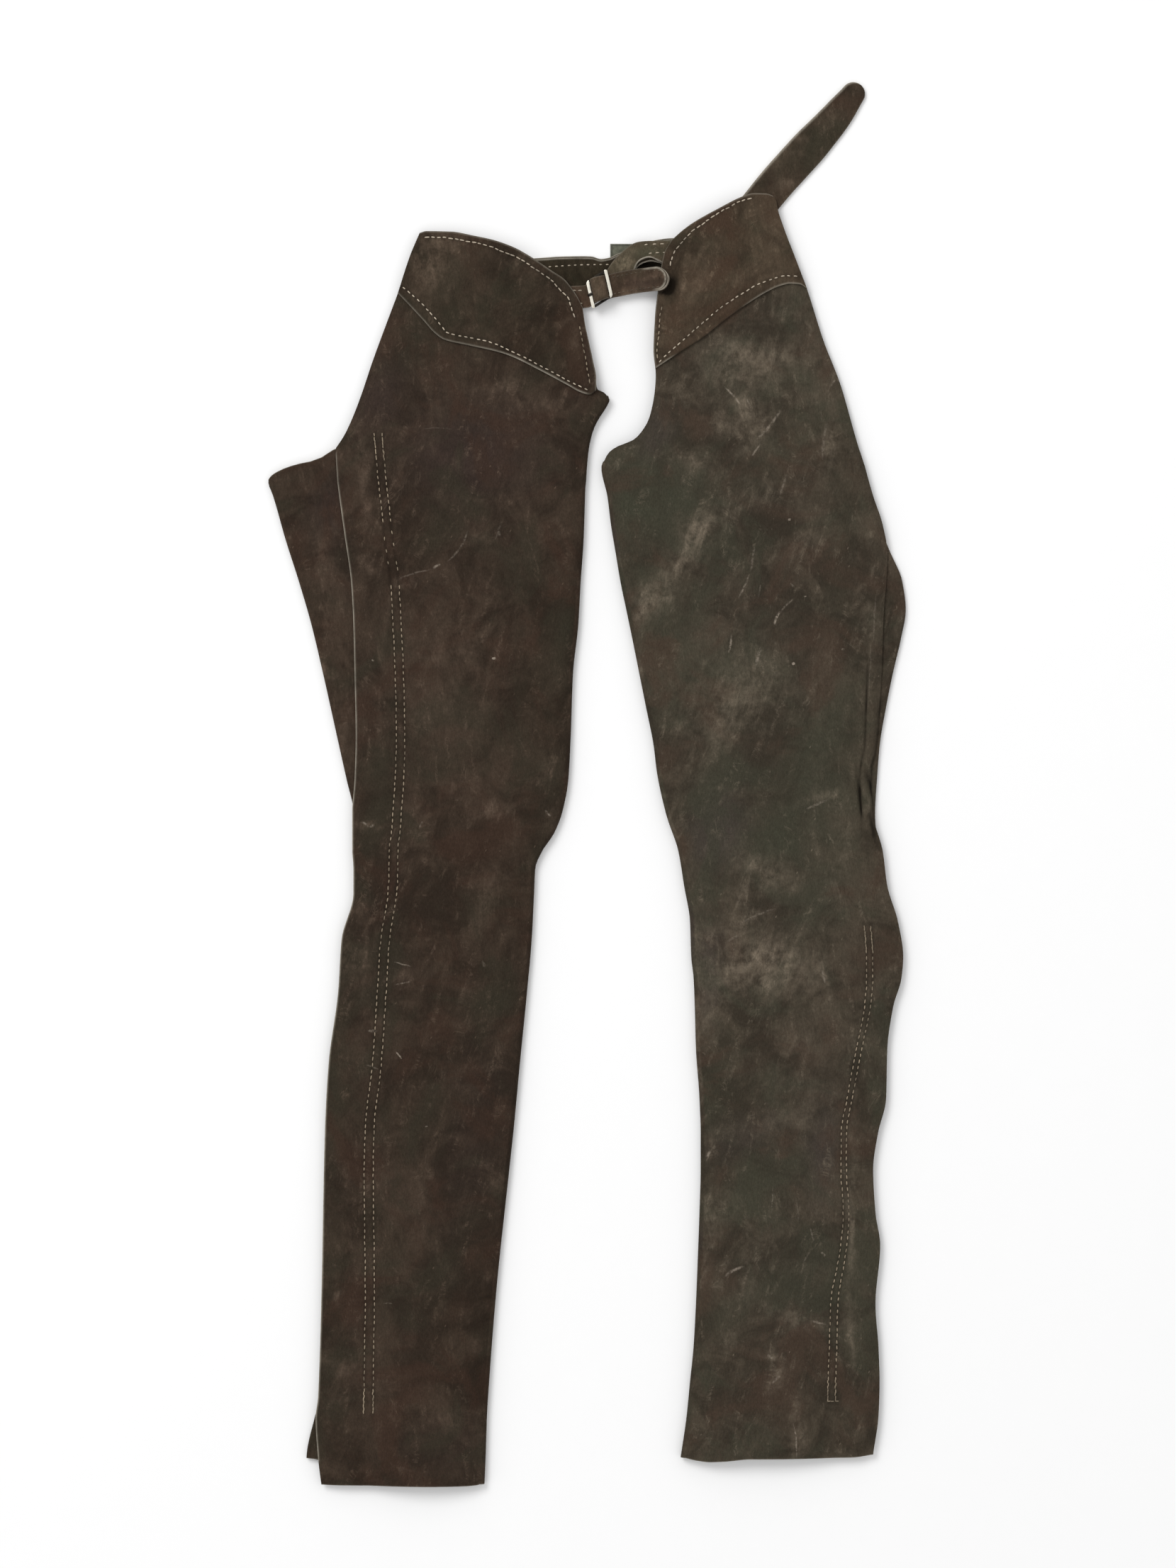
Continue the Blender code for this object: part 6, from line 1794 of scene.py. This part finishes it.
class CHAPS_OT_closure(bpy.types.Operator):
    """Makes the front closure: the tongue from the right hip, the chape from the left one and their buckle"""
    bl_idname = "chaps.closure"
    bl_label = "Front closure"

    def execute(self, context):
        buckle = centre_bar_frame("front_buckle_frame", BUCKLE, "nickel", round_over=0.85)
        darken_rails(buckle)
        buckle.data.transform(Matrix.Shear("YZ", 4, (BUCKLE_RACK, 0.0)))
        put(buckle, (*BUCKLE_CENTRE, BUCKLE_Z), BUCKLE_ANGLE)
        finish_piece(buckle, "nickel", "front_buckle")
        finish_piece(prong_piece(), "nickel", "front_prong")

        path, lower, loop, upper = chape_parts()
        lower_curl = [(distance, curl * CHAPE_LOWER_CURL_SHARE) for distance, curl in CHAPE_CURL]
        bulge = SmoothCurve(CHAPE_BULGE)
        grid = strap_grid(path, lower, CHAPE_WIDTH, lower_curl, raw_sides=(1.0, 0.2), raw_ends=(0.5, 0.0),
                          raw_widths=(2.2, 0.9))
        grid += strap_grid(path, loop, CHAPE_WIDTH, raw_sides=(0.2, 0.2))
        grid += strap_grid(path, upper, CHAPE_WIDTH, CHAPE_CURL, lambda index, distance: bulge(distance),
                           raw_sides=(1.0, 0.25), raw_ends=(0.0, 0.5), raw_widths=(2.5, 0.9))
        item = sheet_object("front_chape_hide", [grid], CHAPE_PLY, "suede_chape", CHAPE_STAINS, edge=0.28)
        finish_piece(item, "suede_olive", "front_chape")

        path, profile, width = tongue_parts()
        grid = strap_grid(path, profile, width, raw_sides=(0.25, 0.25), raw_ends=(0.3, 0.3), lean=TONGUE_LEAN)
        grid = ply_edges(grid, path, TONGUE_TIP / 2)
        item = sheet_object("front_strap_hide", [grid], TONGUE_HIDE, "suede_strap", TONGUE_STAINS_AND_PAINTED_SHADE, edge=0.4)
        finish_piece(item, "suede_brown", "front_strap")
        return {"FINISHED"}


def darken_rails(buckle):
    """The buckle's two long sides get a dark steel: painted shade and painted reflection, as they lie in the
    strap's shadow and mirror the dark suede; the bars across the strap keep the nickel.
    """
    buckle.data.materials.append(material_named("old_steel"))
    inside = BUCKLE.length / 2 - BUCKLE.end_bar
    rail = BUCKLE.height / 2 - BUCKLE.side_bar - 0.3
    with editing(buckle, "FACE", lambda p: abs(p.x) < inside and abs(p.y) > rail):
        buckle.active_material_index = 1
        bpy.ops.object.material_slot_assign()


def prong_piece():
    """The flat prong: it rests on the buckle's left bar, its tip turned down over it."""
    bpy.ops.mesh.primitive_cylinder_add(vertices=12, radius=0.5, depth=1.0, rotation=ALONG_X)
    # The prong is in the dark steel, painted shade for a prong that lies in shadow over the bar
    prong = take_primitive("front_prong_pin", "old_steel", PRONG_SIZE)
    with editing(prong):
        cut_across(0, -3.2, -2.0, 0.0, 2.0)
    with editing(prong, "VERT", lambda p: p.x < PRONG_TIP_FROM):
        bpy.ops.transform.resize(value=(1.0, 0.55, 0.6))
        bpy.ops.transform.translate(value=(0.0, 0.0, -0.7 * MM))
    round_edges(prong, 0.2, 2, smooth_angle=40)
    along, aside, above = PRONG_MIDDLE
    put(prong, (*buckle_point(along, aside), BUCKLE_Z + above), BUCKLE_ANGLE + BUCKLE_RACK * 0.6)
    return prong


def buckle_point(along, aside=0.0):
    """A point of the plan given along and across the front strap from the buckle's middle bar."""
    cos, sin = math.cos(BUCKLE_ANGLE), math.sin(BUCKLE_ANGLE)
    return BUCKLE_CENTRE[0] + along * cos - aside * sin, BUCKLE_CENTRE[1] + along * sin + aside * cos


def chape_parts():
    """The chape's path and the profiles of its lower ply, its turn round the bar and its upper ply."""
    path = PlanPath((BUCKLE_CENTRE, buckle_point(CHAPE_PAST_BAR)) + CHAPE_PATH)
    stops = SmoothCurve(list(enumerate(CHAPE_STOPS)))
    fine = [stops(step / 4) for step in range(4 * (len(CHAPE_STOPS) - 1) + 1)]
    lower = [(stop, CHAPE_LOWER_Z) for stop in reversed(fine)]
    upper = [(stop, CHAPE_UPPER_Z) for stop in fine]
    return path, lower, refined(CHAPE_ROUND_THE_BAR, 0.7), upper


def tongue_parts():
    """The tongue's path, profile and width."""
    path = PlanPath(TONGUE_BEFORE_BAR + (BUCKLE_CENTRE,) + TONGUE_PAST_BAR)
    at_bar = PlanPath(TONGUE_BEFORE_BAR + (BUCKLE_CENTRE,)).length
    tip = rounded_end(path.length, TONGUE_TIP, 24)
    width = [(at_bar + distance, value) for distance, value in TONGUE_WIDTH] + tip
    profile = [(at_bar + distance, height) for distance, height in TONGUE_PROFILE
               if 0 <= at_bar + distance < tip[0][0] - 1]
    profile = refined(profile, 0.8)
    profile += [(row[0], TONGUE_TIP_Z + TONGUE_TIP_RISE * index) for index, row in enumerate(tip)]
    return path, profile, width


class CHAPS_OT_stitching(bpy.types.Operator):
    """Sews the yokes, the zips and the straps with single stitches"""
    bl_idname = "chaps.stitching"
    bl_label = "Stitching"

    def execute(self, context):
        settings = context.scene.chaps_settings
        chance = random.Random(7)
        length, width = settings.stitch_length, settings.stitch_width
        light = master_stitch("thread", length, width)
        brown = master_stitch("zip_thread", length, width * 0.9)
        for side, form, slot, rows in SIDES:
            shape = form()

            def yoke_top(x, y, shape=shape):
                return shape.front_height(x, y) + YOKE_LIFT + YOKE_HIDE / 2 - YOKE_FURROW + 0.12

            def leg_top(x, y, shape=shape):
                return shape.front_height(x, y) - shape.seam(x, y)[0] + HIDE / 2 + 0.12

            places = []
            places += stitches_along(rows[0], yoke_top, settings.yoke_pitch, chance)
            places += stitches_along(rows[1], yoke_top, settings.yoke_pitch * 0.94, chance, stretch=1.2)
            finish_piece(place_copies(light, places, side + "_yoke_stitches"), slot)
            places = stitches_along(rows[2], yoke_top, settings.yoke_pitch * 0.96, chance)
            for row_side in (-1, 1):
                points = zip_row_points(shape, row_side)
                skip = ZIP_ROW_GAP if side == "right" else None
                places += stitches_along(points, leg_top, settings.zip_pitch, chance, skip=skip)
                places += back_tack(points, leg_top, settings.zip_pitch, chance)
            if side == "left":
                half = shape.half_gap(shape.rows.low) + 1
                middle, low = shape.zip(shape.rows.low), shape.rows.low - 1
                across = ((middle - half, low), (middle + half, low))
                places += stitches_along(across, leg_top, ACROSS_PITCH, chance)
            finish_piece(place_copies(brown, places, side + "_zip_stitches"), slot)
        places = strap_stitches(settings.yoke_pitch, chance)
        finish_piece(place_copies(light, places, "strap_stitches"), "suede_brown")
        fine = master_stitch("tongue_thread", TONGUE_STITCH, width * 0.5)
        finish_piece(place_copies(fine, tongue_stitches(), "tongue_stitches"), "suede_brown")
        for master in (fine, light, brown):
            remove_piece(master)
        return {"FINISHED"}


def stitch_on_strap(path, distance, top, half, share, stretch, curl=0.0, proud=0.0):
    """The place of one stitch on a strap, along its path."""
    spot = strap_spot(path, distance, top, half, share, curl, proud)
    return spot.x, spot.y, spot.z, path_turn(path, distance), 0.0, stretch


def strap_stitches(pitch, chance):
    """Places for the stitches of the belt, the chape and the tongue."""
    places = []
    path = PlanPath(BELT_PATH)
    rise = SmoothCurve(LABEL_RISE)
    for share in (-0.6, 0.57):
        for index in range(int((path.length - 12) / pitch)):
            distance = (index + 0.5) * pitch + chance.uniform(-0.2, 0.2)
            top = BELT_PLY * 2 + 0.28 + rise(distance)
            stretch = chance.uniform(0.6, 0.78)
            places.append(stitch_on_strap(path, distance, top, BELT_WIDTH / 2, share, stretch))
    path = chape_parts()[0]
    curl, bulge = SmoothCurve(CHAPE_CURL), SmoothCurve(CHAPE_BULGE)
    for share, first in ((0.72, 53.0), (0.0, 55.0)):
        for index in range(3):
            distance = first + 6.1 * index
            places.append(stitch_on_strap(path, distance, CHAPE_UPPER_Z + CHAPE_PLY / 2 + 0.1, 10.0, share,
                                          0.8 + 0.1 * index, curl(distance), bulge(distance)))
    path, height = tongue_top()
    for sign in (1, -1):
        for distance, share in ((10.0, 0.62), (15.0, 0.6), (20.0, 0.6), (25.0, 0.58)):
            places.append(stitch_on_strap(path, distance, height(distance) + TONGUE_HIDE / 2 + 0.1, 9.5,
                                          sign * share, 1.0))
    return places


def tongue_top():
    """The tongue's path and the height of its middle at each distance."""
    path, profile, _ = tongue_parts()
    return path, SmoothCurve(sorted({round(distance, 2): top for distance, top in profile}.items()))


def tongue_stitches():
    """Places for the fine stitches along the tongue's sides and round its tip."""
    path, height = tongue_top()
    start = PlanPath(TONGUE_BEFORE_BAR + (BUCKLE_CENTRE,)).length + TONGUE_ROW_START
    centre = path.length - TONGUE_TIP / 2
    radius = TONGUE_TIP / 2 - TONGUE_ROW_INSET
    half_turn = math.pi * radius
    straight = centre - start
    count = int((2 * straight + half_turn) / TONGUE_ROW_PITCH)
    places = []
    for index in range(count):
        along = (index + 0.5) * TONGUE_ROW_PITCH
        turn = min(max((along - straight) / radius, 0.0), math.pi)
        if turn in (0.0, math.pi):
            distance = start + (along if turn == 0.0 else 2 * straight + half_turn - along)
        else:
            distance = centre + radius * math.sin(turn)
        spot = strap_spot(path, distance, height(distance) + TONGUE_HIDE / 2 + 0.05, radius, math.cos(turn))
        places.append((spot.x, spot.y, spot.z, path_turn(path, distance) - turn, 0.0, 1.0))
    return places


def path_turn(path, distance):
    ahead = path.frame(distance)[1]
    return math.atan2(ahead.y, ahead.x)


class CHAPS_OT_stage(bpy.types.Operator):
    """Sets up the floor, the soft lights and the camera"""
    bl_idname = "chaps.stage"
    bl_label = "Floor, lights and camera"

    def execute(self, context):
        scene = context.scene
        settings = scene.chaps_settings
        bpy.ops.mesh.primitive_plane_add(size=FLOOR_SIZE, location=(0.0, 0.0, FLOOR_Z))
        floor = take_primitive("floor", "floor")
        bpy.ops.object.light_add(type="AREA", location=KEY_PLACE)
        key = context.object
        key.name = "key"
        key.data.shape = "DISK"
        key.data.size = KEY_SIZE
        key.data.energy = settings.key_power
        key.rotation_euler = (-key.location).to_track_quat("-Z", "Y").to_euler()
        world = bpy.data.worlds.new("chaps_world")
        world.use_nodes = True
        sky = world.node_tree.nodes["Background"]
        sky.inputs["Color"].default_value = opaque((1.0, 1.0, 1.0))
        sky.inputs["Strength"].default_value = settings.fill_strength
        scene.world = world
        lens = bpy.data.cameras.new("camera")
        lens.lens = CAMERA_LENS
        lens.sensor_width = CAMERA_SENSOR
        lens.clip_end = 20.0
        camera = bpy.data.objects.new("camera", lens)
        camera.location = CAMERA_PLACE
        context.collection.objects.link(camera)
        scene.camera = camera
        scene.view_settings.view_transform = "Standard"
        return {"FINISHED"}


class CHAPS_PT_panel(bpy.types.Panel):
    bl_label = "Leather chaps"
    bl_idname = "CHAPS_PT_panel"
    bl_space_type = "VIEW_3D"
    bl_region_type = "UI"
    bl_category = "Chaps"

    def draw(self, context):
        column_of_rows = self.layout.column()
        for name in ChapsSettings.__annotations__:
            column_of_rows.prop(context.scene.chaps_settings, name)
        for operator in OPERATORS:
            column_of_rows.operator(operator.bl_idname)


OPERATORS = (CHAPS_OT_legs, CHAPS_OT_yokes, CHAPS_OT_zips, CHAPS_OT_belt, CHAPS_OT_closure,
             CHAPS_OT_stitching, CHAPS_OT_stage)
CLASSES = (ChapsSettings, *OPERATORS, CHAPS_PT_panel)


def register():
    for item in CLASSES:
        bpy.utils.register_class(item)
    bpy.types.Scene.chaps_settings = PointerProperty(type=ChapsSettings)


def unregister():
    del bpy.types.Scene.chaps_settings
    for item in reversed(CLASSES):
        bpy.utils.unregister_class(item)


def main():
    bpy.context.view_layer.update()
    register()
    bpy.ops.chaps.legs()
    bpy.ops.chaps.yokes()
    bpy.ops.chaps.zips()
    bpy.ops.chaps.belt()
    bpy.ops.chaps.closure()
    bpy.ops.chaps.stitching()
    bpy.ops.chaps.stage()


if __name__ == "__main__":
    main()
